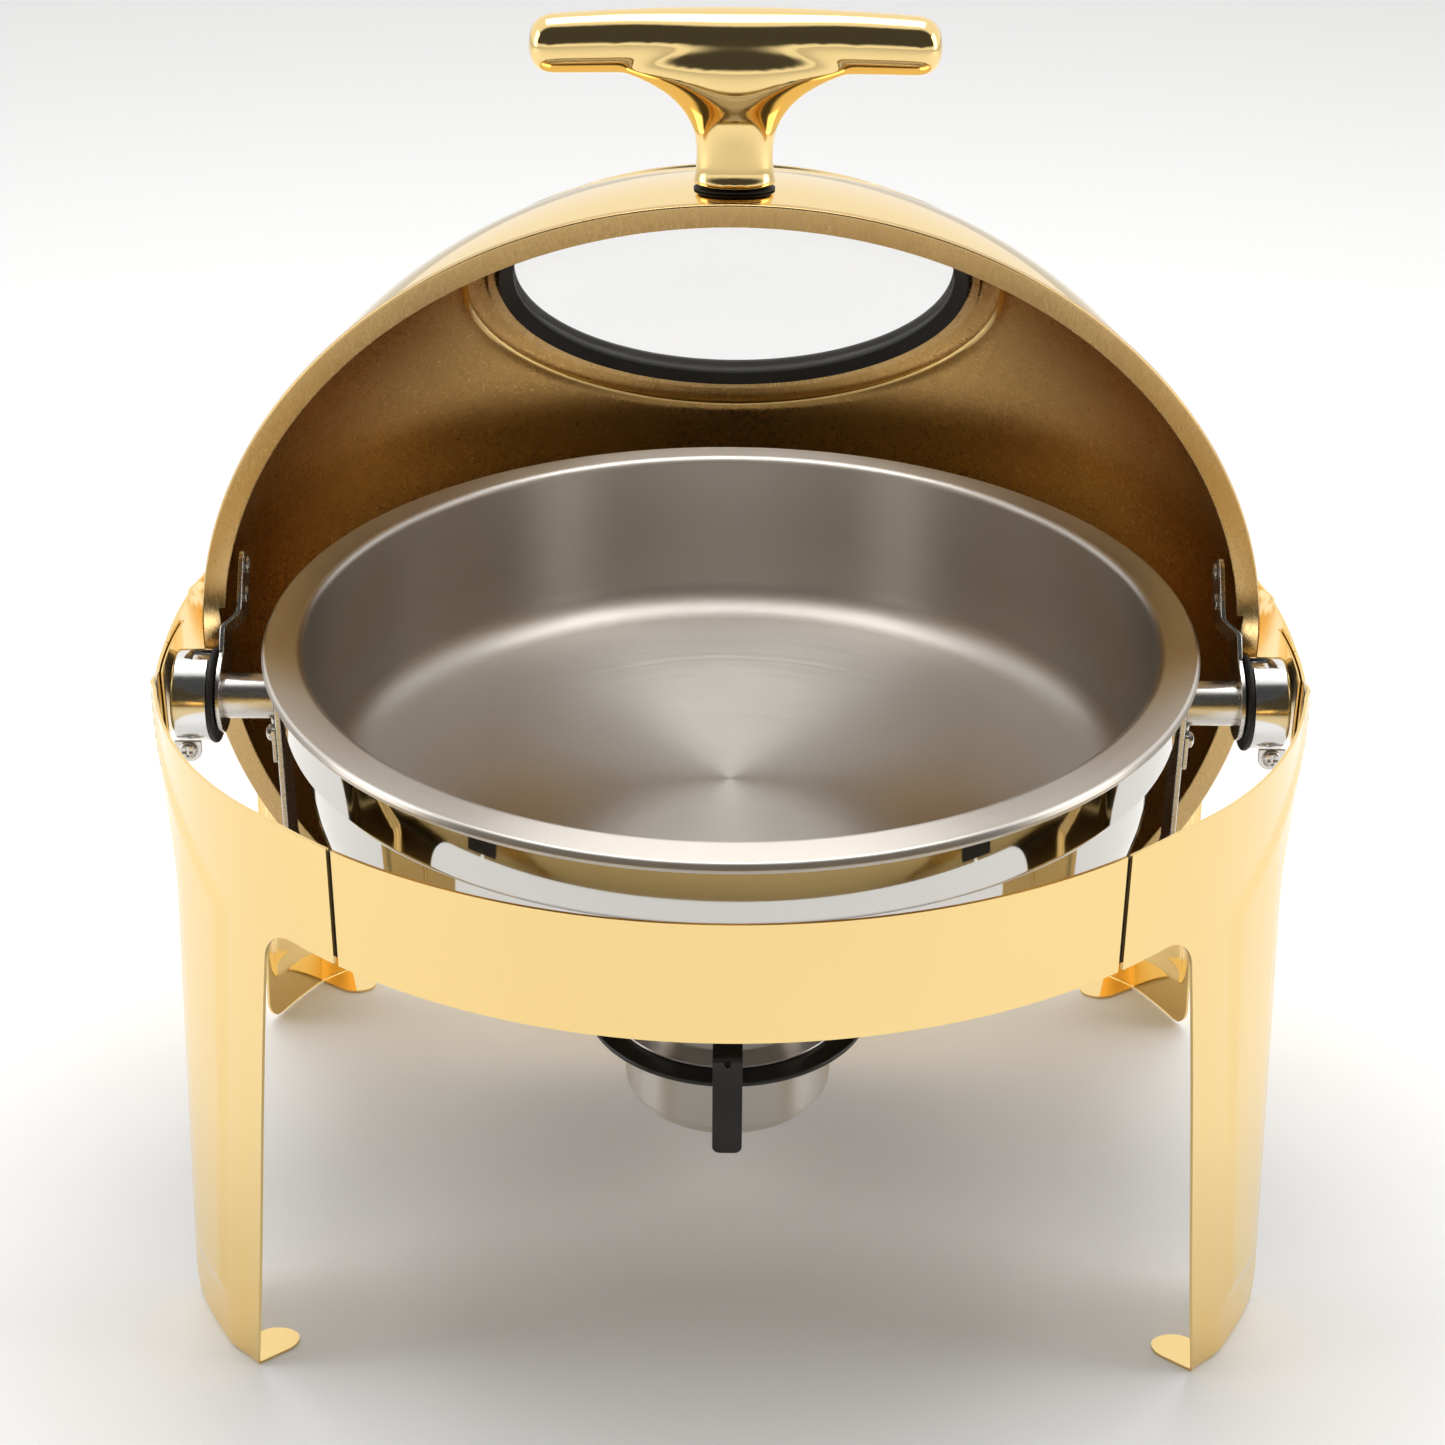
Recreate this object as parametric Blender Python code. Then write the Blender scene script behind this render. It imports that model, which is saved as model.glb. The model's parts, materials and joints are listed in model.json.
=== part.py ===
"""Round roll top chafer with a gold frame, shown with its lid rolled back.

The origin is on the table under the centre of the frame ring. +X is the chafer's right, -Y its
front, +Z up. An azimuth is counted in degrees from the front, so 90 is the hinge side.
"""

from math import asin, cos, degrees, hypot, pi, radians, sin, sqrt

import bmesh
import bpy
from mathutils import Matrix

GAP = 0.0003  # clearance between pieces that touch
SIDES = ((-1, "left"), (1, "right"))
ENDS = ((-1, "front"), (1, "rear"))

# Frame ring and legs
RING_R = 0.2300
SHEET = 0.0012
BAND_TOP = 0.2660
BAND_BOTTOM = 0.2190
SEAM_DEG = 36.8
SEAM_HALF_DEG = 0.28
SPLICE_HALF_DEG = 2.4
SPLICE_INSET = 0.0020
SPLICE_SHEET = 0.0010
SIDE_SEAM_DEG = 89.9
FRONT_TOP_EDGE = (
    (43.0, BAND_TOP), (51.3, 0.2632), (60.4, 0.2602), (70.9, 0.2584), (80.5, 0.2570), (83.5, 0.2530),
    (SIDE_SEAM_DEG, 0.2530),
)
REAR_TOP_EDGE = ((125.0, BAND_TOP), (106.0, 0.2590), (100.0, 0.2575), (180 - SIDE_SEAM_DEG, 0.2530))
LEG_FRONT_DEG = (46.4, 52.6)  # free front edge of a leg, under the band and at the table
LEG_BACK_DEG = (67.6, 66.8)  # free rear edge
LEG_FOOT_R = 0.2405
FRONT_FILLET = 0.015
BACK_FILLET = 0.030
FOOT_CORNER = 0.014
FLANK_TUCK = 0.0035  # how far the front edge of a leg turns in at the table
PANEL_SPAN = (0.33, 0.93)  # raised panel, as a share of the leg's width
PANEL_Z = (0.024, 0.196)
PANEL_RAISE = 0.0010
PANEL_RAMP = 0.08
TAB_CENTRE_DEG = 54.6
TAB_HALF_WIDTH = 0.0085
TAB_LENGTH = 0.024
TAB_BEND = 0.0020

# Hinge axis and lid
HINGE_Z = 0.2290
LID_OPEN_DEG = 77.2
DOME_R = 0.2145
DOME_SHEET = 0.0010
RIM_OFFSET = 0.0205  # from the hinge axis up to the rim plane of the closed lid
RIM_R = 0.2185
RIM_LIP_R = 0.2090
RIM_DROP = 0.0030
WINDOW_DEG = -32.7  # from the apex towards the front
GLASS_R = 0.0965
GLASS_THICKNESS = 0.0034
GASKET_LIP = 0.0012
GASKET_R = (0.0945, 0.1010)
TRIM_R = (0.1014, 0.1055)
BACKING_DROP = 0.0012  # clears the flats of the faceted dome
HANDLE_DEG = -76.2
HANDLE_HEIGHT = 0.0669
HANDLE_HALF_LENGTH = 0.0757
HANDLE_BAR_R = 0.0119
HANDLE_END_R = 0.0106
HANDLE_DROOP = 0.0020  # of the bar at its ends
STEM_FLARE = (  # height above the stem's foot, half width along the bar
    (0.0000, 0.0163), (0.0030, 0.0150), (0.0125, 0.0144), (0.0195, 0.0152), (0.0240, 0.0170),
    (0.0280, 0.0195), (0.0320, 0.0231), (0.0355, 0.0276), (0.0390, 0.0340), (0.0415, 0.0400),
    (0.0440, 0.0460), (0.0530, 0.0490),
)
STEM_HALF_DEPTH = (0.0097, 0.0160)  # at its neck and under the bar
BAR_BELLY = (0.0036, 0.045)  # extra half depth in the middle, and how far along it fades out
PAD_HALF = (0.0160, 0.0108)
PAD_TOP = 0.0010  # above the dome
NOTCH_HALF = 0.0092  # in the rim, around a lid arm

# Hinge hardware, each side
HOUSING_X = (0.2120, 0.2265)
HOUSING_R = 0.0190
HOUSING_RING_X = (0.2097, 0.2117)
HOUSING_RING_R = 0.0196
ARM_X = (0.2071, 0.2091)
ARM_TIP_X = (0.2006, 0.2026)
SHAFT_R = 0.0095
SHAFT_X = (0.1862, 0.2094)
SHAFT_SHEET = 0.0012
HOUSING_SLOT_HALF = 0.0045
HOUSING_SLOT_DEPTH = 0.0018
TAB_X = 0.2212
HINGE_TAB_DROP = (0.0135, 0.0175)  # top and screw of the hinge tab, below the hinge axis
HINGE_TAB_HALF = 0.0055
HINGE_TAB_SHEET = 0.0012
HINGE_PLATE_DROP = 0.0085
HINGE_PLATE_RISE = 0.0225
ARM_LEAN_DEG = 40  # of a lid arm, from the apex to the front of the lid
ARM_EYE_R = 0.0150
ARM_HALF = 0.0084

# Cradle, pans and burner
STRAP_X = (0.1836, 0.1858)
STRAP_HALF_WIDTH = 0.0110
STRAP_BEND = 0.0120
STRAP_RISE = 0.0130
STRAP_PLATE_DROP = (0.0260, 0.0100)
STRAP_BOLT_DROP = 0.0138
STRAP_BOLT_STEP = 0.0062
CRADLE_Z = 0.1480
PAN_RIM_Z = 0.2635
PAN_RIM_R = 0.1880
PAN_SHEET = 0.0009
PAN_SEGMENTS = 40
PAN_WALL_R = 0.1705
PAN_FLOOR_R = 0.1660
PAN_FLOOR_Z = 0.1917
WATER_FLANGE_R = 0.1842
WATER_WALL_R = 0.1810
WATER_LOWER_R = 0.1725
WATER_SHOULDER_Z = 0.2330
WATER_FLOOR_Z = 0.1505
WATER_CORNER_R = 0.0600
BURNER_RING_Z = 0.0760
BURNER_RING_R = (0.0470, 0.0618)
BURNER_RING_SHEET = 0.0022
CUP_R = 0.0450
CUP_Z = (0.0385, 0.0880)
ARM_BAR_HALF_WIDTH = 0.0090
ARM_BAR_SHEET = 0.0025
ARM_BEND_X = 0.0880
ARM_START_X = 0.0575
ARM_FOOT = 0.0160
COVER_PIN_Y = 0.0302
COVER_R = 0.0345
COVER_RIVET_Y = -0.0240
COVER_HANDLE_Y = -0.0662
COVER_HANDLE_Z = (0.0493, 0.0694)  # free end and fold of the burner's handle
COVER_HANDLE_SHEET = 0.0013
COVER_HANDLE_HALF = 0.0062
COVER_HANDLE_HOLE_Z = 0.0935

GOLD = ("gold", (0.80, 0.60, 0.27), 0.12, 1.0)
GOLD_DARK = ("gold_satin", (0.60, 0.40, 0.17), 0.30, 1.0)
STEEL = ("steel_satin", (0.60, 0.58, 0.55), 0.30, 1.0)
MIRROR = ("steel_polished", (0.72, 0.71, 0.69), 0.06, 1.0)
CHROME = ("chrome", (0.80, 0.80, 0.80), 0.08, 1.0)
BLACK = ("black_enamel", (0.02, 0.018, 0.016), 0.35, 0.0)
RUBBER = ("black_rubber", (0.02, 0.02, 0.02), 0.55, 0.0)
GLASS = ("window_glass", (0.92, 0.93, 0.93), 0.03, 0.0)


# ---------------------------------------------------------------- helpers

def clear_scene():
    for obj in list(bpy.data.objects):
        bpy.data.objects.remove(obj, do_unlink=True)


def material(spec):
    name, colour, roughness, metallic = spec
    found = bpy.data.materials.get(name)
    if found:
        return found
    made = bpy.data.materials.new(name)
    made.use_nodes = True
    shader = made.node_tree.nodes["Principled BSDF"]
    shader.inputs["Base Color"].default_value = (*colour, 1.0)
    shader.inputs["Roughness"].default_value = roughness
    shader.inputs["Metallic"].default_value = metallic
    return made


def add_object(name, mesh, spec, parent=None, sharp_deg=35):
    obj = bpy.data.objects.new(name, mesh)
    bpy.context.scene.collection.objects.link(obj)
    mesh.materials.append(material(spec))
    mesh.shade_smooth()
    mesh.set_sharp_from_angle(angle=radians(sharp_deg))
    obj.parent = parent
    return obj


def mesh_from(bm, name):
    bmesh.ops.recalc_face_normals(bm, faces=bm.faces)
    mesh = bpy.data.meshes.new(name)
    bm.to_mesh(mesh)
    bm.free()
    return mesh


def add_empty(name, location, parent=None):
    empty = bpy.data.objects.new(name, None)
    empty.location = location
    empty.parent = parent
    bpy.context.scene.collection.objects.link(empty)
    return empty


def loft(rings, closed_ends=True):
    """A skin over rings of the same length, capped at both ends."""
    bm = bmesh.new()
    rows = [[bm.verts.new(p) for p in ring] for ring in rings]
    count = len(rows[0])
    for low, high in zip(rows, rows[1:]):
        for i in range(count):
            j = (i + 1) % count
            bm.faces.new((low[i], low[j], high[j], high[i]))
    if closed_ends:
        bm.faces.new(rows[0])
        bm.faces.new(rows[-1])
    return bm


def turned(name, profile, segments=48):
    """A closed (radius, height) outline turned about Z. A radius of 0 is a pole."""
    bm = bmesh.new()
    columns = []
    for radius, height in profile:
        if radius < 1e-9:
            columns.append([bm.verts.new((0, 0, height))] * segments)
            continue
        turn = [2 * pi * i / segments for i in range(segments)]
        columns.append([bm.verts.new((radius * cos(a), radius * sin(a), height)) for a in turn])
    for ring, nxt in zip(columns, columns[1:] + columns[:1]):
        for i in range(segments):
            j = (i + 1) % segments
            corners = []
            for vert in (ring[i], ring[j], nxt[j], nxt[i]):
                if vert not in corners:
                    corners.append(vert)
            if len(corners) > 2:
                bm.faces.new(corners)
    return mesh_from(bm, name)


def prism(name, outline, low, high, axis="Z"):
    """A flat outline given a thickness along an axis. For X the outline is (y, z), for Y (x, z)."""
    def place(a, b, c):
        return {"Z": (a, b, c), "X": (c, a, b), "Y": (a, c, b)}[axis]
    return mesh_from(loft([[place(a, b, c) for a, b in outline] for c in (low, high)]), name)


def circle(radius, centre=(0, 0), segments=24, start=0.0):
    return [
        (centre[0] + radius * cos(start + 2 * pi * i / segments),
         centre[1] + radius * sin(start + 2 * pi * i / segments))
        for i in range(segments)
    ]


def arc(centre, radius, start_deg, end_deg, steps):
    return [
        (centre[0] + radius * cos(radians(start_deg + (end_deg - start_deg) * i / steps)),
         centre[1] + radius * sin(radians(start_deg + (end_deg - start_deg) * i / steps)))
        for i in range(steps + 1)
    ]


def cut(obj, name, mesh, parent=None):
    """Subtracts a helper mesh from an object."""
    cutter = bpy.data.objects.new(name, mesh)
    bpy.context.scene.collection.objects.link(cutter)
    cutter.hide_render = True
    cutter.display_type = "WIRE"
    cutter.parent = parent
    boolean = obj.modifiers.new(name, "BOOLEAN")
    boolean.operation = "DIFFERENCE"
    boolean.object = cutter
    boolean.solver = "EXACT"
    return cutter


def disc_between(name, radius, low, high, segments=24):
    return turned(name, [(0, high), (radius, high), (radius, low), (0, low)], segments)


def along_x(mesh, side, centre=(0, 0)):
    """Turns a mesh built about Z so that its Z runs outwards along X, on one side."""
    turn = Matrix(((0, 0, side, 0), (side, 0, 0, centre[0]), (0, 1, 0, centre[1]), (0, 0, 0, 1)))
    mesh.transform(turn)
    return mesh


def along_y(mesh, x, z):
    """Turns a mesh built about Z so that its Z points to the front."""
    mesh.transform(Matrix(((1, 0, 0, x), (0, 0, -1, 0), (0, 1, 0, z), (0, 0, 0, 1))))
    return mesh


def lerp(pair, share):
    return pair[0] + (pair[1] - pair[0]) * share


def smooth(share):
    share = min(max(share, 0.0), 1.0)
    return share * share * (3 - 2 * share)


# ---------------------------------------------------------------- frame

def wall_radius(height):
    """Outer radius of the frame sheet: upright in the band, splayed in the legs."""
    return RING_R + (LEG_FOOT_R - RING_R) * min(max(1 - height / BAND_BOTTOM, 0.0), 1.0)


def leg_span(height):
    share = min(max(1 - height / BAND_BOTTOM, 0.0), 1.0)
    return lerp(LEG_FRONT_DEG, share), lerp(LEG_BACK_DEG, share)


def on_frame(azimuth, height, depth):
    """(radius, height) of a point of the flat pattern once it is bent into the frame.

    depth is how far the point lies behind the outer face of the sheet.
    """
    front, back = leg_span(height)
    across = (azimuth - front) / (back - front)
    radius = wall_radius(height)
    down = smooth(1 - height / BAND_BOTTOM)
    radius -= FLANK_TUCK * down * smooth(1 - across / PANEL_SPAN[0])
    inside = min(across - PANEL_SPAN[0], PANEL_SPAN[1] - across) / PANEL_RAMP
    level = min(height - PANEL_Z[0], PANEL_Z[1] - height) / (PANEL_RAMP * (PANEL_Z[1] - PANEL_Z[0]))
    radius += PANEL_RAISE * smooth(min(inside, level))
    if height >= TAB_BEND:
        return radius - depth, height
    turn = (TAB_BEND - height) / TAB_BEND
    run = max(turn - pi / 2, 0.0) * TAB_BEND
    turn = min(turn, pi / 2)
    reach = TAB_BEND - depth
    return radius - TAB_BEND + reach * cos(turn) - run, TAB_BEND - reach * sin(turn)


def sliced_pattern(outline, azimuth_cuts, height_cuts):
    """The flat pattern in (degrees, millimetres), with edges along which it can bend."""
    bm = bmesh.new()
    bm.faces.new([bm.verts.new((a, h * 1000, 0)) for a, h in outline])
    lines = [((low, BAND_BOTTOM * 1000, 0), (-BAND_BOTTOM * 1000, low - high, 0)) for low, high in azimuth_cuts]
    lines += [((0, height * 1000, 0), (0, 1, 0)) for height in height_cuts]
    for point, normal in lines:
        bmesh.ops.bisect_plane(
            bm, geom=bm.verts[:] + bm.edges[:] + bm.faces[:], dist=1e-4, plane_co=point, plane_no=normal,
        )
    bmesh.ops.triangulate(bm, faces=[f for f in bm.faces if len(f.verts) > 4])
    bm.verts.index_update()
    return bm


def bent_sheet(name, outline, azimuth_cuts, height_cuts, place):
    """A closed sheet: the pattern bent at its outer face and again one sheet deeper, joined at the edges."""
    flat = sliced_pattern(outline, azimuth_cuts, height_cuts)
    bm = bmesh.new()
    skins = []
    for depth in (0.0, SHEET):
        skin = []
        for vert in flat.verts:
            azimuth, height = vert.co.x, vert.co.y / 1000
            skin.append(bm.verts.new(place(azimuth, *on_frame(azimuth, height, depth))))
        skins.append(skin)
    outer, inner = skins
    for face in flat.faces:
        corners = [v.index for v in face.verts]
        bm.faces.new([outer[i] for i in corners])
        bm.faces.new([inner[i] for i in reversed(corners)])
    for edge in flat.edges:
        if edge.is_boundary:
            i, j = (v.index for v in edge.verts)
            bm.faces.new((outer[i], outer[j], inner[j], inner[i]))
    flat.free()
    return add_object(name, mesh_from(bm, name), GOLD)


def leg_outline(top_edge):
    """Flat pattern of a leg with its stretch of band, in (azimuth, height)."""
    deg = degrees(1 / RING_R)
    seam = SEAM_DEG + SEAM_HALF_DEG
    outline = [(seam, BAND_TOP), (seam, BAND_BOTTOM)]
    front = LEG_FRONT_DEG[0]
    for x, z in arc((-FRONT_FILLET, -FRONT_FILLET), FRONT_FILLET, 90, 0, 6):
        shift = leg_span(BAND_BOTTOM + z)[0] - front
        outline.append((front + x * deg + shift, BAND_BOTTOM + z))
    foot_deg = degrees(1 / LEG_FOOT_R)
    low = TAB_CENTRE_DEG - TAB_HALF_WIDTH * foot_deg
    high = TAB_CENTRE_DEG + TAB_HALF_WIDTH * foot_deg
    end = TAB_BEND - TAB_LENGTH
    outline.append((LEG_FRONT_DEG[1], 0.0))
    outline.append((low, 0.0))
    tip = arc((0, end + TAB_HALF_WIDTH), TAB_HALF_WIDTH, 180, 360, 8)
    outline += [(TAB_CENTRE_DEG + x * foot_deg, z) for x, z in tip]
    outline.append((high, 0.0))
    corner = arc((-FOOT_CORNER, FOOT_CORNER), FOOT_CORNER, 270, 360, 5)
    outline += [(LEG_BACK_DEG[1] + x * foot_deg, z) for x, z in corner]
    for x, z in arc((BACK_FILLET, -BACK_FILLET), BACK_FILLET, 180, 90, 7):
        shift = leg_span(BAND_BOTTOM + z)[1] - LEG_BACK_DEG[0]
        outline.append((LEG_BACK_DEG[0] + x * deg + shift, BAND_BOTTOM + z))
    outline.append((SIDE_SEAM_DEG, BAND_BOTTOM))
    outline += reversed(top_edge)
    return outline


def make_leg(name, side, end):
    """side is -1 on the left and 1 on the right, end is -1 at the front and 1 at the rear."""
    if end < 0:
        top_edge = FRONT_TOP_EDGE
    else:
        top_edge = [(180 - a, z) for a, z in REAR_TOP_EDGE]

    def place(azimuth, radius, height):
        return (side * radius * sin(radians(azimuth)), end * radius * cos(radians(azimuth)), height)

    steady = [(a, a) for a in (39.5, 43, 71, 75, 79, 83, 86.5)]
    shares = (0.0, PANEL_SPAN[0], PANEL_SPAN[0] + PANEL_RAMP, 0.63, PANEL_SPAN[1] - PANEL_RAMP, PANEL_SPAN[1])
    leg = [tuple(lerp((LEG_FRONT_DEG[i], LEG_BACK_DEG[i]), s) for i in (0, 1)) for s in shares]
    ramp = PANEL_RAMP * (PANEL_Z[1] - PANEL_Z[0])
    heights = [TAB_BEND * (1 - pi / 2), TAB_BEND * (1 - pi / 4), TAB_BEND, PANEL_Z[0], PANEL_Z[0] + ramp,
               0.08, 0.13, PANEL_Z[1] - ramp, PANEL_Z[1], BAND_BOTTOM]
    return bent_sheet(name, leg_outline(top_edge), steady + leg, heights, place)


def make_band(name, end):
    edge = SEAM_DEG - SEAM_HALF_DEG
    outline = [(-edge, BAND_TOP), (-edge, BAND_BOTTOM), (edge, BAND_BOTTOM), (edge, BAND_TOP)]

    def place(azimuth, radius, height):
        return (radius * sin(radians(azimuth)), end * radius * cos(radians(azimuth)), height)

    count = 14
    cuts = [(-edge + 2 * edge * i / count,) * 2 for i in range(1, count)]
    return bent_sheet(name, outline, cuts, [], place)


def curved_plate(name, span_deg, heights, radius, thickness, spec, side=1, end=-1):
    """A plate bent to lie on a cylinder about Z, between two azimuths and two heights."""
    steps = 6
    low, high = heights
    section = ((radius, low), (radius, high), (radius - thickness, high), (radius - thickness, low))
    rings = []
    for i in range(steps + 1):
        turn = radians(lerp(span_deg, i / steps))
        rings.append([(side * r * sin(turn), end * r * cos(turn), z) for r, z in section])
    return add_object(name, mesh_from(loft(rings), name), spec)


def rounded_rectangle(half_width, low, high, corner, steps=3):
    reach = half_width - corner
    centres = ((reach, high - corner), (-reach, high - corner), (-reach, low + corner), (reach, low + corner))
    points = []
    for i, centre in enumerate(centres):
        points += arc(centre, corner, i * 90, i * 90 + 90, steps)
    return points


def screw_mesh(name, head_r, head_h, shank_r, shank_length):
    """A pan-head screw about Z with its head's underside at 0 and its head up."""
    profile = [
        (0, head_h), (head_r * 0.75, head_h * 0.8), (head_r, head_h * 0.2),
        (head_r, 0), (shank_r, 0), (shank_r, -shank_length), (0, -shank_length),
    ]
    return turned(name, profile, 12)


def cross_slot(name, width, length, depth, top):
    """A plus-shaped cutter whose top is well above a screw head."""
    a, b = width / 2, length / 2
    corner = [(a, a), (a, b), (-a, b)]
    outline = []
    for _ in range(4):
        outline += corner[:2]
        corner = [(-y, x) for x, y in corner]
    return prism(name, outline, top - depth, top + 0.003)


def make_frame():
    make_band("front_band", -1)
    make_band("rear_band", 1)
    for side, hand in SIDES:
        for end, where in ENDS:
            make_leg(f"{where}_leg_{hand}", side, end)
            span = (SEAM_DEG - SPLICE_HALF_DEG, SEAM_DEG + SPLICE_HALF_DEG)
            heights = (BAND_BOTTOM + SPLICE_INSET, BAND_TOP - SPLICE_INSET)
            name = f"{where}_splice_{hand}"
            curved_plate(name, span, heights, RING_R - SHEET - GAP, SPLICE_SHEET, BLACK, side, end)


# ---------------------------------------------------------------- hinges

def make_hinge(side, hand):
    heights = (HINGE_Z - HINGE_PLATE_DROP, HINGE_Z + HINGE_PLATE_RISE)
    curved_plate(f"hinge_plate_{hand}", (84, 96), heights, RING_R - SHEET - GAP, 0.0008, GOLD, side)
    make_housing(side, hand)
    make_hinge_tab(side, hand)

    bore = SHAFT_R - SHAFT_SHEET
    tube_end = HOUSING_X[0] + 0.0025
    profile = [(SHAFT_R, tube_end), (SHAFT_R, SHAFT_X[0]), (bore, SHAFT_X[0]), (bore, tube_end)]
    mesh = along_x(turned(f"shaft_tube_{hand}", profile, 28), side, (0, HINGE_Z))
    add_object(f"shaft_tube_{hand}", mesh, STEEL)


def make_housing(side, hand):
    """A turned cap on the end of the shaft, with a black ring at its inner face."""
    bevel = 0.0016
    low, high = HOUSING_X
    bore = SHAFT_R + GAP
    profile = [
        (0, high), (HOUSING_R - bevel, high), (HOUSING_R - bevel * 0.3, high - bevel * 0.3),
        (HOUSING_R, high - bevel), (HOUSING_R, low), (bore, low), (bore, low + 0.0030), (0, low + 0.0030),
    ]
    mesh = along_x(turned(f"hinge_housing_{hand}", profile, 28), side, (0, HINGE_Z))
    housing = add_object(f"hinge_housing_{hand}", mesh, CHROME)
    floor = HINGE_Z + HOUSING_R - HOUSING_SLOT_DEPTH
    outline = rounded_rectangle(HOUSING_SLOT_HALF, floor, HINGE_Z + 0.03, 0.0006, 1)
    slot = prism("slot", outline, *sorted((side * (low - 0.001), side * (low + 0.0070))), axis="X")
    cut(housing, f"housing_slot_cutter_{hand}", slot)

    low, high = HOUSING_RING_X
    edge = 0.0007
    profile = [
        (HOUSING_RING_R - edge, high), (HOUSING_RING_R, high - edge), (HOUSING_RING_R, low + edge),
        (HOUSING_RING_R - edge, low), (bore, low), (bore, high),
    ]
    mesh = along_x(turned(f"housing_ring_{hand}", profile, 28), side, (0, HINGE_Z))
    add_object(f"housing_ring_{hand}", mesh, BLACK)


def make_hinge_tab(side, hand):
    """The strip that hangs in front of the housing, and its cross-head screw."""
    x = side * TAB_X
    top, low = (HINGE_Z - drop for drop in HINGE_TAB_DROP)
    outline = [(x - HINGE_TAB_HALF, top), (x + HINGE_TAB_HALF, top)]
    outline += arc((x, low), HINGE_TAB_HALF, 0, -180, 8)
    back = -sqrt(HOUSING_R ** 2 - HINGE_TAB_DROP[0] ** 2) - 2 * GAP
    face = back - HINGE_TAB_SHEET
    tab = add_object(f"hinge_tab_{hand}", prism(f"hinge_tab_{hand}", outline, face, back, "Y"), STEEL)
    cut(tab, f"tab_hole_cutter_{hand}", along_y(disc_between("hole", 0.0018, -0.02, 0.03, 16), x, low))

    seat = Matrix.Translation((0, face - GAP, 0))
    head = 0.0020
    screw = along_y(screw_mesh(f"tab_screw_{hand}", 0.0038, head, 0.0015, 0.0032), x, low)
    screw.transform(seat)
    cross = along_y(cross_slot("cross", 0.0010, 0.0044, 0.0010, head), x, low)
    cross.transform(seat)
    cut(add_object(f"tab_screw_{hand}", screw, STEEL), f"tab_screw_slot_cutter_{hand}", cross)


# ---------------------------------------------------------------- cradle and burner bracket

def cradle_path(half_width, bend, floor):
    """Half of a U in the (x, z) plane, from the top of one leg to the middle of its floor."""
    top = HINGE_Z + STRAP_RISE
    corner = arc((half_width - bend, floor + bend), bend, 0, -90, 3)
    path = [(half_width, top)] + corner
    return path + [(-x, z) for x, z in reversed(path)]


def make_cradle():
    """A flat bar bent into a U: it hangs from both shafts and passes under the water pan."""
    inner, outer = STRAP_X
    sheet = outer - inner
    outline = cradle_path(outer, STRAP_BEND, CRADLE_Z)
    outline += reversed(cradle_path(inner, STRAP_BEND - sheet, CRADLE_Z + sheet))
    mesh = prism("pan_cradle", outline, -STRAP_HALF_WIDTH, STRAP_HALF_WIDTH, "Y")
    cradle = add_object("pan_cradle", mesh, STEEL)
    for side, hand in SIDES:
        make_strap_plate(side, hand, cradle)
    return cradle


def make_strap_plate(side, hand, cradle):
    """A stiffening plate outside the bar, held by two bolts under the shaft."""
    low_x, high_x = STRAP_X[1] + GAP, STRAP_X[1] + 0.0018
    low_z, high_z = (HINGE_Z - drop for drop in STRAP_PLATE_DROP)
    outline = rounded_rectangle(STRAP_HALF_WIDTH, low_z, high_z, 0.0015, 1)
    name = f"strap_plate_{hand}"
    plate = add_object(name, prism(name, outline, *sorted((side * low_x, side * high_x)), axis="X"), STEEL)
    for step, where in ((-STRAP_BOLT_STEP, "front"), (STRAP_BOLT_STEP, "rear")):
        centre = (step, HINGE_Z - STRAP_BOLT_DROP)
        hole = along_x(disc_between("hole", 0.0019, STRAP_X[0] - 0.004, STRAP_X[1] + 0.006, 12), side, centre)
        cut(plate, f"plate_hole_cutter_{where}_{hand}", hole)
        cut(cradle, f"strap_hole_cutter_{where}_{hand}", hole.copy())
        bolt = screw_mesh(f"strap_bolt_{where}_{hand}", 0.0036, 0.0026, 0.0016, 0.0040)
        bolt.transform(Matrix.Translation((0, 0, high_x + GAP)))
        add_object(f"strap_bolt_{where}_{hand}", along_x(bolt, side, centre), STEEL)


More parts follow.
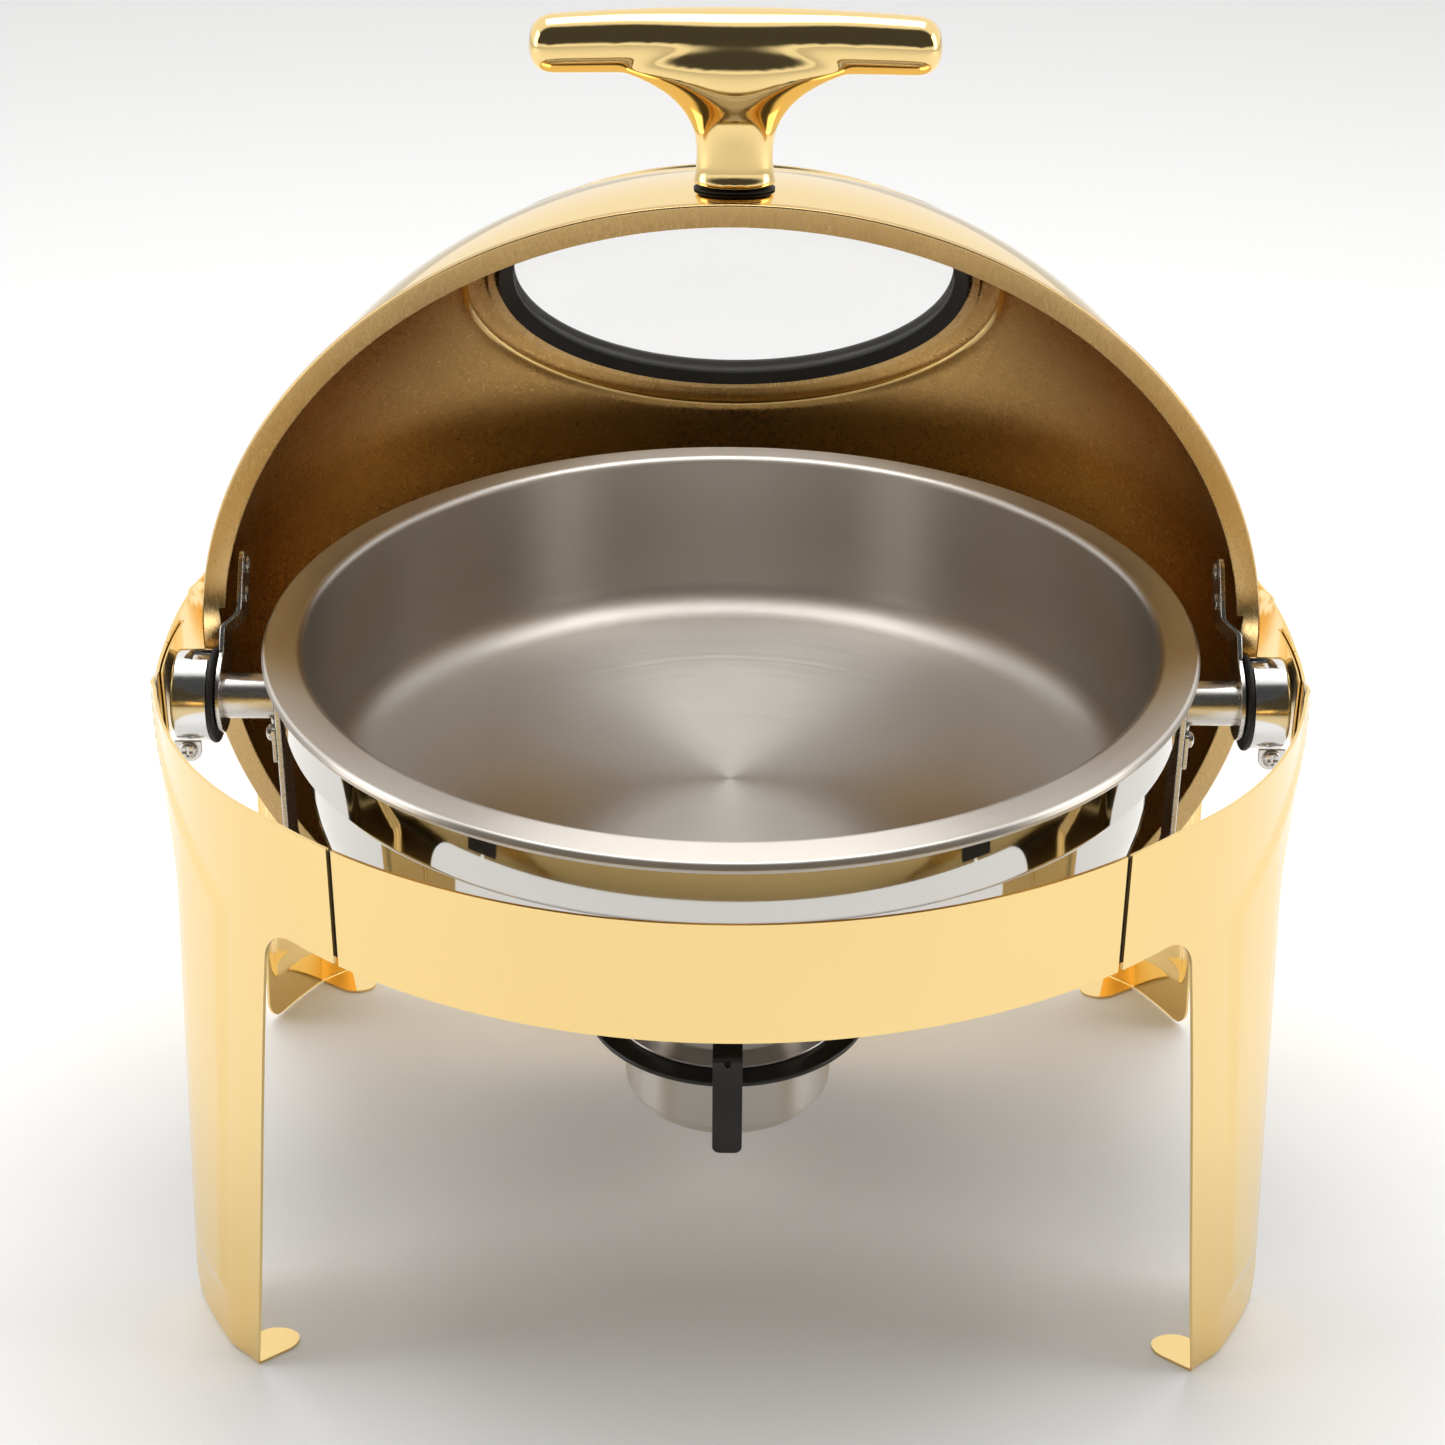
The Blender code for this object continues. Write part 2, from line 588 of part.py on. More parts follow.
def make_bracket():
    """Two black arms bolted under the cradle, and the ring that the burner hangs in."""
    top = CRADLE_Z - GAP
    ring_z = BURNER_RING_Z
    sheet = ARM_BAR_SHEET
    rise = top - sheet - ring_z
    knee_x = ARM_BEND_X + rise
    end_x = knee_x + ARM_FOOT
    half = sheet * (sqrt(2) - 1)
    lower = [(ARM_START_X, ring_z), (ARM_BEND_X, ring_z), (knee_x, ring_z + rise), (end_x, ring_z + rise)]
    upper = [(end_x, top), (knee_x - half, top)]
    upper += [(ARM_BEND_X - half, ring_z + sheet), (ARM_START_X, ring_z + sheet)]
    for side, hand in SIDES:
        outline = [(side * x, z) for x, z in lower + upper]
        name = f"burner_arm_{hand}"
        arm = add_object(name, prism(name, outline, -ARM_BAR_HALF_WIDTH, ARM_BAR_HALF_WIDTH, "Y"), BLACK)
        bolt_x = side * (knee_x + ARM_FOOT / 2)
        hole = disc_between("hole", 0.0022, top - 0.01, CRADLE_Z + 0.01, 12)
        hole.transform(Matrix.Translation((bolt_x, 0, 0)))
        cut(arm, f"arm_hole_cutter_{hand}", hole)
        cut(bpy.data.objects["pan_cradle"], f"cradle_hole_cutter_{hand}", hole.copy())
        bolt = screw_mesh(f"arm_bolt_{hand}", 0.0040, 0.0026, 0.0019, 0.0046)
        bolt.transform(Matrix.Rotation(pi, 4, "X"))
        bolt.transform(Matrix.Translation((bolt_x, 0, top - sheet - GAP)))
        add_object(f"arm_bolt_{hand}", bolt, STEEL)

    low = ring_z + sheet + GAP
    inner, outer = BURNER_RING_R
    high = low + BURNER_RING_SHEET
    edge = 0.0005
    profile = [
        (inner, high), (outer - edge, high), (outer, high - edge),
        (outer, low + edge), (outer - edge, low), (inner, low),
    ]
    add_object("burner_ring", turned("burner_ring", profile, 36), BLACK)
    return high


def make_burner(seat_z, parent):
    """The fuel cup hangs by its flange in the ring. Its cover swings on a rear pin to set the flame."""
    sheet = 0.0010
    low, high = CUP_Z
    flange_z = seat_z + GAP
    corner = 0.008
    neck = 0.0390
    wall = CUP_R - sheet
    profile = [(0, low)] + arc((CUP_R - corner, low + corner), corner, 270, 360, 4)
    profile += [(CUP_R, flange_z), (0.0520, flange_z), (0.0520, flange_z + sheet)]
    profile += [(neck + 0.0015, flange_z + sheet), (neck, flange_z + 0.0030), (neck, high)]
    profile += [(neck - sheet, high), (neck - sheet, flange_z + 0.0012)]
    profile += [(wall, flange_z - 0.0015), (wall, low + corner)]
    profile += [(CUP_R - corner, low + sheet), (0, low + sheet)]
    add_object("burner_cup", turned("burner_cup", profile, 32), STEEL, parent)

    base = high + GAP
    profile = [
        (0.0255, base), (0.0412, base), (0.0412, base + 0.0022), (0.0400, base + 0.0035),
        (0.0352, base + 0.0035), (0.0340, base + 0.0050), (0.0255, base + 0.0050),
    ]
    collar = add_object("burner_collar", turned("burner_collar", profile, 32), MIRROR, parent)
    hole = disc_between("hole", 0.0021, base - 0.01, base + 0.02, 12)
    hole.transform(Matrix.Translation((0, COVER_PIN_Y, 0)))
    cut(collar, "collar_pin_cutter", hole, parent)
    return base + 0.0050


def make_cover(top_z, parent):
    """The cover's own coordinates start on its pin, behind the burner's centre."""
    low = top_z + GAP
    sheet = 0.0010
    outline = [(x, y - COVER_PIN_Y) for x, y in circle(COVER_R, (0, 0), 40, radians(-90))]
    cover = add_object("burner_cover", prism("burner_cover", outline, low, low + sheet), MIRROR, parent)
    cut(cover, "cover_pin_cutter", disc_between("hole", 0.0021, low - 0.01, low + 0.01, 12), parent)
    rivet_hole = disc_between("hole", 0.0018, low - 0.01, low + 0.01, 12)
    rivet_hole.transform(Matrix.Translation((0, COVER_RIVET_Y - COVER_PIN_Y, 0)))
    cut(cover, "cover_rivet_cutter", rivet_hole, parent)

    base = low + sheet + GAP
    foot = top_z - 0.0046
    pin = [(0, foot), (0.0018, foot), (0.0018, base)]
    pin += [(0.0036, base), (0.0034, base + 0.0010), (0, base + 0.0016)]
    add_object("cover_pin", turned("cover_pin", pin, 16), STEEL, parent)

    handle = make_cover_handle(base, parent)
    cut(handle, "handle_rivet_hole_cutter", rivet_hole.copy(), parent)
    grip = sheet + COVER_HANDLE_SHEET + 2 * GAP
    rivet = screw_mesh("handle_rivet", 0.0034, 0.0016, 0.0014, grip)
    rivet.transform(Matrix.Translation((0, COVER_RIVET_Y - COVER_PIN_Y, base + COVER_HANDLE_SHEET + GAP)))
    add_object("handle_rivet", rivet, STEEL, parent)


def make_cover_handle(base, parent):
    """A strip from the cover to the front, bent down, with rounded corners at its free end."""
    strip = COVER_HANDLE_SHEET
    reach = COVER_HANDLE_Y - COVER_PIN_Y
    start = -0.0170 - COVER_PIN_Y
    bend = 0.0030
    foot = (reach - 0.0012, COVER_HANDLE_Z[0])
    fold = (reach - 0.0002, COVER_HANDLE_Z[1])
    outline = [(start, base + strip)] + arc((reach + bend, base + strip - bend), bend, 90, 180, 3)
    outline += [fold, foot, (foot[0] + strip, foot[1]), (fold[0] + strip, fold[1])]
    outline += arc((reach + bend, base + strip - bend), bend - strip, 180, 90, 3) + [(start, base)]
    mesh = prism("burner_handle", outline, -COVER_HANDLE_HALF, COVER_HANDLE_HALF, "X")
    handle = add_object("burner_handle", mesh, BLACK, parent)
    bevel = handle.modifiers.new("edges", "BEVEL")
    bevel.width = 0.0030
    bevel.segments = 2
    bevel.limit_method = "WEIGHT"
    weights = mesh.attributes.new("bevel_weight_edge", "FLOAT", "EDGE")
    for edge in mesh.edges:
        a, b = (mesh.vertices[i].co for i in edge.vertices)
        short = abs(a.y - b.y) > strip * 0.9 and abs(a.x - b.x) < 1e-6
        if short and max(a.z, b.z) < foot[1] + 1e-5:
            weights.data[edge.index].value = 1.0
    hole = along_y(disc_between("hole", 0.0016, -0.02, 0.2, 12), 0, COVER_HANDLE_HOLE_Z)
    cut(handle, "handle_hole_cutter", hole, parent)
    return handle


# ---------------------------------------------------------------- pans

def make_water_pan(parent):
    """Its flange rests under the food pan's flange; its floor stands on the cradle."""
    sheet = PAN_SHEET
    floor = WATER_FLOOR_Z
    top = PAN_RIM_Z - 0.0016
    shoulder = WATER_SHOULDER_Z
    wall = WATER_WALL_R
    lower = WATER_LOWER_R
    corner = WATER_CORNER_R
    corner_x = lower - 0.002 - corner
    outside = [(WATER_FLANGE_R, top), (WATER_FLANGE_R, top - sheet), (wall, top - sheet - 0.0004)]
    outside += [(wall, shoulder + 0.0030), (wall - 0.0020, shoulder)]
    outside += [(lower + 0.0008, shoulder - 0.0010), (lower, shoulder - 0.0030)]
    outside += arc((corner_x, floor + corner), corner, 0, -90, 8) + [(0, floor)]
    inside = [(0, floor + sheet)] + arc((corner_x, floor + corner), corner - sheet, -90, 0, 8)
    inside += [(lower - sheet, shoulder - 0.0024), (wall - 0.0022, shoulder + sheet)]
    inside += [(wall - sheet, shoulder + 0.0034), (wall - sheet, top)]
    return add_object("water_pan", turned("water_pan", outside + inside, PAN_SEGMENTS), MIRROR, parent)


def make_food_pan(parent):
    """A shallow round pan with a broad rolled rim that hangs in the water pan."""
    sheet = PAN_SHEET
    edge, rim = PAN_RIM_R, PAN_RIM_Z
    wall, floor = PAN_WALL_R, PAN_FLOOR_Z
    corner = 0.016
    centre = (PAN_FLOOR_R - corner, floor + corner)
    outside = [(edge - 0.0010, rim - 0.0042), (edge, rim - 0.0026), (edge - 0.0006, rim - 0.0008)]
    outside += [(edge - 0.0022, rim), (wall + 0.0030, rim + 0.0010), (wall + 0.0008, rim + 0.0004)]
    outside += [(wall - 0.0002, rim - 0.0014)] + arc(centre, corner, 0, -90, 5) + [(0, floor)]
    inside = [(0, floor - sheet)] + arc(centre, corner + sheet, -90, 0, 5)
    inside += [(wall + 0.0008, rim - 0.0020), (wall + 0.0030, rim - 0.0002)]
    inside += [(edge - 0.0030, rim - 0.0012), (edge - 0.0016, rim - 0.0026), (edge - 0.0019, rim - 0.0040)]
    return add_object("food_pan", turned("food_pan", outside + inside, PAN_SEGMENTS), STEEL, parent)


# ---------------------------------------------------------------- lid

def lid_turn(angle_deg, distance=0.0):
    """Frame of a piece on the dome: its Z leaves the dome at this angle from the apex, towards the rear."""
    turn = Matrix.Rotation(radians(-angle_deg), 4, "X")
    return turn @ Matrix.Translation((0, 0, distance))


def on_sphere(radius, off_axis):
    return sqrt(radius ** 2 - off_axis ** 2)


def cap_profile(radius, low, high, steps):
    """Points of a sphere's meridian from one height to another."""
    start, end = asin(low / radius), asin(min(high / radius, 1.0))
    return [(radius * cos(start + (end - start) * i / steps), radius * sin(start + (end - start) * i / steps))
            for i in range(steps + 1)]


def shell_ring(name, low_r, high_r, inner, outer, segments=40):
    """A ring cut from a spherical shell about Z, between two radii measured from Z."""
    corners = ((low_r, outer), (high_r, outer), (high_r, inner), (low_r, inner))
    profile = [(r, on_sphere(radius, r)) for r, radius in corners]
    return turned(name, profile, segments)


def make_dome(parent):
    inner = DOME_R - DOME_SHEET
    low = RIM_OFFSET + RIM_DROP + GAP
    outside = cap_profile(DOME_R, low, DOME_R, 10)
    inside = cap_profile(inner, low, inner, 10)
    outside[-1] = (0, DOME_R)
    inside[-1] = (0, inner)
    dome = add_object("lid_dome", turned("lid_dome", outside + inside[::-1], 48), GOLD, parent)
    hole_r = GASKET_R[1] + GAP
    window = disc_between("window", hole_r, 0.12, 0.24, 40)
    window.transform(lid_turn(WINDOW_DEG))
    cut(dome, "window_cutter", window, parent)
    screw = disc_between("screw", 0.0034, 0.20, 0.23, 16)
    screw.transform(lid_turn(HANDLE_DEG))
    cut(dome, "handle_screw_cutter", screw, parent)
    return dome


def make_rim(parent):
    """The flat lip that closes the edge of the dome, turned in over the rim plane."""
    low = RIM_OFFSET
    sheet = 0.0010
    seat = low + RIM_DROP
    edge = sqrt(DOME_R ** 2 - seat ** 2)
    profile = [
        (RIM_LIP_R, low), (RIM_R - 0.0008, low), (RIM_R, low + 0.0008), (RIM_R - 0.0004, seat - 0.0006),
        (edge + 0.0006, seat), (edge - 0.0022, seat), (edge - 0.0022, low + sheet), (RIM_LIP_R, low + sheet),
    ]
    return add_object("lid_rim", turned("lid_rim", profile, 48), GOLD_DARK, parent)


def make_window(parent):
    glass_out = DOME_R - 0.0006
    glass_in = glass_out - GLASS_THICKNESS
    mesh = turned("window_glass", sphere_disc(GLASS_R, glass_in, glass_out, 3), 40)
    mesh.transform(lid_turn(WINDOW_DEG))
    add_object("window_glass", mesh, GLASS, parent)

    low_r, high_r = GASKET_R
    lip_in, lip_out = glass_in - GAP - GASKET_LIP, glass_out + GAP + GASKET_LIP
    groove = GLASS_R + GAP
    profile = [
        (low_r, on_sphere(glass_out + GAP, low_r)), (low_r, on_sphere(lip_out, low_r)),
        (high_r, on_sphere(lip_out, high_r)), (high_r, on_sphere(lip_in, high_r)),
        (low_r, on_sphere(lip_in, low_r)), (low_r, on_sphere(glass_in - GAP, low_r)),
        (groove, on_sphere(glass_in - GAP, groove)), (groove, on_sphere(glass_out + GAP, groove)),
    ]
    mesh = turned("window_gasket", profile[::-1], 40)
    mesh.transform(lid_turn(WINDOW_DEG))
    add_object("window_gasket", mesh, RUBBER, parent)

    mesh = shell_ring("window_trim", *TRIM_R, DOME_R + GAP, DOME_R + 0.0013)
    mesh.transform(lid_turn(WINDOW_DEG))
    add_object("window_trim", mesh, GOLD, parent)
    backing_out = DOME_R - DOME_SHEET - BACKING_DROP
    mesh = shell_ring("window_backing", *TRIM_R, backing_out - 0.0010, backing_out)
    mesh.transform(lid_turn(WINDOW_DEG))
    add_object("window_backing", mesh, GOLD_DARK, parent)


def sphere_disc(edge, inner, outer, steps=4):
    top = [(edge * (1 - i / steps), on_sphere(outer, edge * (1 - i / steps))) for i in range(steps + 1)]
    bottom = [(edge * i / steps, on_sphere(inner, edge * i / steps)) for i in range(steps + 1)]
    return [(max(r, 0.0), h) for r, h in top + bottom]


def bar_ring(x, half_height, half_depth, centre_z, count=16):
    """A cross-section of the handle's bar at x: an oval in the (depth, height) plane."""
    turn = [2 * pi * i / count for i in range(count)]
    return [(x, half_depth * cos(a), centre_z + half_height * sin(a)) for a in turn]


def belly(x):
    """How much deeper the bar is at x than at its ends."""
    return BAR_BELLY[0] * max(1 - (x / BAR_BELLY[1]) ** 2, 0.0) ** 2


def bar_stations():
    """(x, radius, drop) along the bar: thickest and highest in the middle, with blunt rounded ends."""
    length = HANDLE_HALF_LENGTH
    cap = 0.0085
    middle = [(x, lerp((HANDLE_END_R, HANDLE_BAR_R), 1 - (x / length) ** 2)) for x in (0.0, 0.012, 0.024, 0.036, 0.048)]
    ends = [(length - cap * (1 - sin(a)), HANDLE_END_R * max(cos(a), 0.05) ** 0.75)
            for a in (0.0, pi / 6, pi / 3, radians(84))]
    right = [(x, r, HANDLE_DROOP * (x / length) ** 2) for x, r in middle + ends]
    return [(-x, r, drop) for x, r, drop in reversed(right[1:])] + right


def make_handle(parent):
    """A cast T handle. Its bar is a row of ovals along X, and its stem a row of ovals along Z."""
    base = DOME_R + PAD_TOP + GAP
    bar_z = DOME_R + HANDLE_HEIGHT - HANDLE_BAR_R
    bar = [bar_ring(x, r, r * 0.98 + belly(x), bar_z - drop) for x, r, drop in bar_stations()]
    handle = add_object("lid_handle", mesh_from(loft(bar), "lid_handle"), GOLD, parent, 60)

    stem = []
    for height, half_x in STEM_FLARE:
        half_y = lerp(STEM_HALF_DEPTH, smooth((height - 0.020) / 0.024)) + 0.0016 * smooth(1 - height / 0.006)
        half_y -= 0.0020 * smooth((height - 0.044) / 0.010)
        turn = [2 * pi * k / 20 for k in range(20)]
        stem.append([(half_x * cos(a), half_y * sin(a), base + height) for a in turn])
    helper = bpy.data.objects.new("handle_stem", mesh_from(loft(stem), "handle_stem"))
    helper.parent = parent
    helper.hide_render = True
    helper.display_type = "WIRE"
    bpy.context.scene.collection.objects.link(helper)
    for mesh in (helper.data, handle.data):
        mesh.transform(lid_turn(HANDLE_DEG))
    join = handle.modifiers.new("stem", "BOOLEAN")
    join.operation = "UNION"
    join.object = helper
    join.solver = "EXACT"
    bore = disc_between("bore", 0.0029, 0.20, base + 0.014, 16)
    bore.transform(lid_turn(HANDLE_DEG))
    cut(handle, "handle_bore_cutter", bore, parent)
    make_handle_pad(parent)

    screw = screw_mesh("handle_screw", 0.0062, 0.0030, 0.0026, 0.0125)
    screw.transform(Matrix.Rotation(pi, 4, "X"))
    screw.transform(lid_turn(HANDLE_DEG, DOME_R - DOME_SHEET - 3 * GAP))
    add_object("handle_screw", screw, STEEL, parent)


def make_handle_pad(parent):
    """A thin rubber foot between the stem and the dome, curved like the dome."""
    pad = turned("handle_pad", [(0, 1), (0.5, 1), (1, 1), (1, 0), (0.5, 0), (0, 0)], 28)
    for vert in pad.vertices:
        x, y = vert.co.x * PAD_HALF[0], vert.co.y * PAD_HALF[1]
        vert.co = (x, y, on_sphere(DOME_R + (PAD_TOP if vert.co.z > 0.5 else GAP), hypot(x, y)))
    pad_obj = add_object("handle_pad", pad, RUBBER, parent)
    pad_obj.data.transform(lid_turn(HANDLE_DEG))
    hole = disc_between("hole", 0.0034, 0.20, 0.23, 16)
    hole.transform(lid_turn(HANDLE_DEG))
    cut(pad_obj, "pad_hole_cutter", hole, parent)


def arm_section(distance, half_width):
    """A cross-section of a right-hand lid arm at a distance from the hinge axis, before it leans."""
    share = smooth((distance - 0.026) / 0.0085)
    inner = lerp((ARM_X[0], ARM_TIP_X[0]), share)
    outer = lerp((ARM_X[1], ARM_TIP_X[1]), share)
    corners = ((outer, -1), (outer, 1), (inner, 1), (inner, -1))
    return [(x, half_width * way, distance) for x, way in corners]


def make_lid_arm(side, hand, parent):
    """A steel plate from the shaft to the dome, with a jog that clears the lip. Local Z is the apex."""
    eye_r = ARM_EYE_R
    seat = DOME_R - DOME_SHEET - 0.0012
    tip = sqrt(seat ** 2 - ARM_TIP_X[1] ** 2)
    stations = (
        (-eye_r, 0.25 * eye_r), (-0.5 * eye_r, 0.866 * eye_r), (0.0, eye_r), (0.009, 0.0126),
        (0.0160, ARM_HALF), (0.0260, ARM_HALF), (0.0345, ARM_HALF),
        (tip - 0.012, ARM_HALF), (tip - 0.004, 0.0072))
    mesh = mesh_from(loft([arm_section(*station) for station in stations]), f"lid_arm_{hand}")
    mesh.transform(Matrix.Scale(side, 4, (1, 0, 0)))
    if side < 0:
        mesh.flip_normals()
    lean = Matrix.Rotation(radians(ARM_LEAN_DEG), 4, "X")
    mesh.transform(lean)
    arm = add_object(f"lid_arm_{hand}", mesh, STEEL, parent)
    eye = along_x(disc_between("eye", SHAFT_R + GAP, 0.19, 0.22, 32), side)
    cut(arm, f"arm_eye_cutter_{hand}", eye, parent)

    half, reach = NOTCH_HALF, 0.045
    outline = [(-half, 0.0), (half, 0.0), (half, reach), (-half, reach)]
    notch = prism("notch", outline, *sorted((side * 0.19, side * (ARM_X[1] + 2 * GAP))), axis="X")
    notch.transform(lean)
    cut(bpy.data.objects["lid_rim"], f"rim_notch_cutter_{hand}", notch, parent)
    for distance, where in ((tip - 0.0085, "outer"), (tip - 0.0210, "inner")):
        hole = along_x(disc_between("hole", 0.0019, 0.19, 0.22, 12), side, (0, distance))
        hole.transform(lean)
        cut(arm, f"arm_{where}_rivet_cutter_{hand}", hole, parent)
        rivet = screw_mesh(f"lid_rivet_{where}_{hand}", 0.0036, 0.0014, 0.0015, 0.0020)
        rivet.transform(Matrix.Translation((0, 0, ARM_TIP_X[0] - GAP)) @ Matrix.Rotation(pi, 4, "X"))
        rivet = along_x(rivet, side, (0, distance))
        rivet.transform(lean)
        add_object(f"lid_rivet_{where}_{hand}", rivet, STEEL, parent)


def make_lid():
    hinge = add_empty("lid_hinge", (0, 0, HINGE_Z))
    hinge.rotation_euler = (radians(-LID_OPEN_DEG), 0, 0)
    make_dome(hinge)
    make_rim(hinge)
    make_window(hinge)
    make_handle(hinge)
    for side, hand in SIDES:
        make_lid_arm(side, hand, hinge)


def main():
    clear_scene()
    make_frame()
    for side, hand in SIDES:
        make_hinge(side, hand)
    make_cradle()
    seat_z = make_bracket()
    make_water_pan(add_empty("water_pan_lift", (0, 0, 0)))
    make_food_pan(add_empty("food_pan_lift", (0, 0, 0)))
    top_z = make_burner(seat_z, add_empty("burner_lift", (0, 0, 0)))
    make_cover(top_z, add_empty("cover_pivot", (0, COVER_PIN_Y, 0)))
    make_lid()


main()
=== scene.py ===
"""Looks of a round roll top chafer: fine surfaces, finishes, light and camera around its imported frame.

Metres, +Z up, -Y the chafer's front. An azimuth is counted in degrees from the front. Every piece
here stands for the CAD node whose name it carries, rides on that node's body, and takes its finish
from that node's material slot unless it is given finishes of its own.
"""

import json
from math import acos, atan2, cos, degrees, hypot, pi, radians, sin, sqrt, tan

import bmesh
import bpy
from mathutils import Matrix, Vector

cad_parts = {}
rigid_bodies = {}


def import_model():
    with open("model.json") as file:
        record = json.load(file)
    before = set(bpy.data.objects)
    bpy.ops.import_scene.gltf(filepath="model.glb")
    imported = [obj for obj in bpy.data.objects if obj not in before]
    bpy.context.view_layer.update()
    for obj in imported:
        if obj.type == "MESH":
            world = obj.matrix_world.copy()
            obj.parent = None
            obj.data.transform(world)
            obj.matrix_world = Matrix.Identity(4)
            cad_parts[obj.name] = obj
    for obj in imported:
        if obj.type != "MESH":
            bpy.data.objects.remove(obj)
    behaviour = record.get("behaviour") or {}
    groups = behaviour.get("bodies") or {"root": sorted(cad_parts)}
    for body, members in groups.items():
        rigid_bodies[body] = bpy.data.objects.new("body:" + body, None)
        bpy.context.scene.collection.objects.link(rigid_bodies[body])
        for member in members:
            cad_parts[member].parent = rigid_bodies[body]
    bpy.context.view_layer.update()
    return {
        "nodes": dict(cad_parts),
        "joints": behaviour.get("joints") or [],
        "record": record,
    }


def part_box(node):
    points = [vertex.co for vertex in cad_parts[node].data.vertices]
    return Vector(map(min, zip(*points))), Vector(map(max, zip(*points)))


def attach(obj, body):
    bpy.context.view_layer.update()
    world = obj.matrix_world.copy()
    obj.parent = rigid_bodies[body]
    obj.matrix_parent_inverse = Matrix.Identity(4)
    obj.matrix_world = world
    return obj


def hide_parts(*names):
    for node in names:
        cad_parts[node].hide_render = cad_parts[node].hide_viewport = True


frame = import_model()
RECORD = frame["record"]
BODY = {node: body for body, nodes in RECORD["behaviour"]["bodies"].items() for node in nodes}
SLOT = {row["node"]: row["material_slot"] for row in RECORD["subparts"]}
JOINT = {joint["name"]: joint for joint in frame["joints"]}

GAP = 0.0003
SIDES = ((-1, "left"), (1, "right"))
ENDS = ((-1, "front"), (1, "rear"))

# Driving dimensions, read from the frame
BAND_LOW, BAND_HIGH = (corner.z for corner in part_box("front_band"))
RING_R = -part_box("front_band")[0].y
HINGE = Vector(JOINT["lid_roll"]["pos_m"])
HINGE_Z = HINGE.z
LID_OPEN = radians(JOINT["lid_roll"]["range_deg"][1])
DOME_R = max((v.co - HINGE).length for v in frame["nodes"]["lid_dome"].data.vertices)
PAN_RIM_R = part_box("food_pan")[1].x
WATER_FLOOR_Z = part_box("water_pan")[0].z
CRADLE_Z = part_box("pan_cradle")[0].z
COVER_PIN_Y = JOINT["cover_swing"]["pos_m"][1]

# Frame sheet
SHEET = 0.0012
SEAM_DEG = 36.8
SEAM_HALF_DEG = 0.28
SPLICE_HALF_DEG = 2.4
SIDE_SEAM_DEG = 89.9
FRONT_TOP_EDGE = (
    (43.0, BAND_HIGH), (47.0, 0.2649), (51.3, 0.2632), (60.4, 0.2602), (70.9, 0.2584),
    (80.5, 0.2570), (83.5, 0.2530), (SIDE_SEAM_DEG, 0.2530),
)
REAR_TOP_EDGE = ((55.0, BAND_HIGH), (74.0, 0.2590), (80.0, 0.2575), (SIDE_SEAM_DEG, 0.2530))
LEG_FRONT_DEG = (46.4, 52.6)
LEG_BACK_DEG = (67.6, 66.8)
LEG_FOOT_R = 0.2405
FRONT_FILLET = 0.015
BACK_FILLET = 0.030
FOOT_CORNER = 0.014
FLANK_TUCK = 0.0035
PANEL_SPAN = (0.33, 0.93)
PANEL_LOW = 0.024
PANEL_CORNER_Z = 0.213
PANEL_TOP = (80.0, 0.262)
PANEL_RAISE = 0.0014
PANEL_RAMP = 0.0050
TAB_CENTRE_DEG = 54.6
TAB_HALF_WIDTH = 0.0085
TAB_LENGTH = 0.024
TAB_BEND = 0.0020

# Lid
DOME_SHEET = 0.0010
RIM_LOW = 0.0205
RIM_DROP = 0.0030
RIM_R = 0.2185
RIM_LIP_R = 0.2090
WINDOW_DEG = -32.7
GLASS_EDGE_R = 0.0965
GASKET_R = (0.0945, 0.1010)
TRIM_R = (0.1014, 0.1055)
BEAD_R = 0.1154
HANDLE_DEG = -76.2
HANDLE_HEIGHT = 0.0669
HANDLE_HALF_LENGTH = 0.0757
HANDLE_BAR_R = 0.0119
HANDLE_END_R = 0.0106
HANDLE_DROOP = 0.0020
BAR_BELLY = (0.0022, 0.045)  # extra half depth in the middle, and how far along it fades out
PAD_HALF = (0.0153, 0.0101)
STEM_FLARE = (  # height above the stem's foot, half width along the bar
    (0.0000, 0.0163), (0.0015, 0.0156), (0.0030, 0.0150), (0.0075, 0.0146), (0.0125, 0.0144),
    (0.0160, 0.0146), (0.0195, 0.0152), (0.0240, 0.0170), (0.0280, 0.0195), (0.0320, 0.0231),
    (0.0355, 0.0276), (0.0390, 0.0340), (0.0415, 0.0400), (0.0440, 0.0460), (0.0530, 0.0490),
)

# Hinge hardware
HOUSING_X = (0.2120, 0.2265)
HOUSING_R = 0.0190
HOUSING_RING_X = (0.2097, 0.2117)
ARM_X = (0.2071, 0.2091)
ARM_TIP_X = (0.2006, 0.2026)
ARM_LEAN_DEG = 40
SHAFT_R = 0.0095
SHAFT_X = (0.1862, 0.2094)
STRAP_X = (0.1836, 0.1858)

# Pans and burner
PAN_SHEET = 0.0009
PAN_RIM_Z = 0.2635
PAN_WALL_R = 0.1705
PAN_FLOOR_R = 0.1660
PAN_FLOOR_Z = 0.1917
WATER_WALL_R = 0.1811
WATER_NECK_R = 0.1800
WATER_LOWER_R = 0.1725
WATER_CORNER_R = 0.0600
WATER_FLANGE_R = 0.1842
WATER_SHOULDER_Z = 0.2330
RING_Z = 0.0760
BURNER_RING_R = (0.0470, 0.0618)
RING_SHEET = 0.0022
CUP_R = 0.0450
CUP_Z = (0.0385, 0.0880)
BRACKET_SHEET = 0.0025
ARM_END_X = 0.0575
ARM_KNEE_X = 0.088
ARM_FLANGE = 0.016  # bolted under the cradle

ROUND = 160  # sides of a large turned piece
SMALL_ROUND = 48


# ---------------------------------------------------------------- shape helpers

def lerp(pair, share):
    return pair[0] + (pair[1] - pair[0]) * share


def along(table, place):
    """The value at a place in a table of (place, value) rows."""
    low, high = next((a, b) for a, b in zip(table, table[1:]) if place <= b[0] + 1e-9)
    return lerp((low[1], high[1]), (place - low[0]) / (high[0] - low[0]))


def smooth(share):
    share = min(max(share, 0.0), 1.0)
    return share * share * (3 - 2 * share)


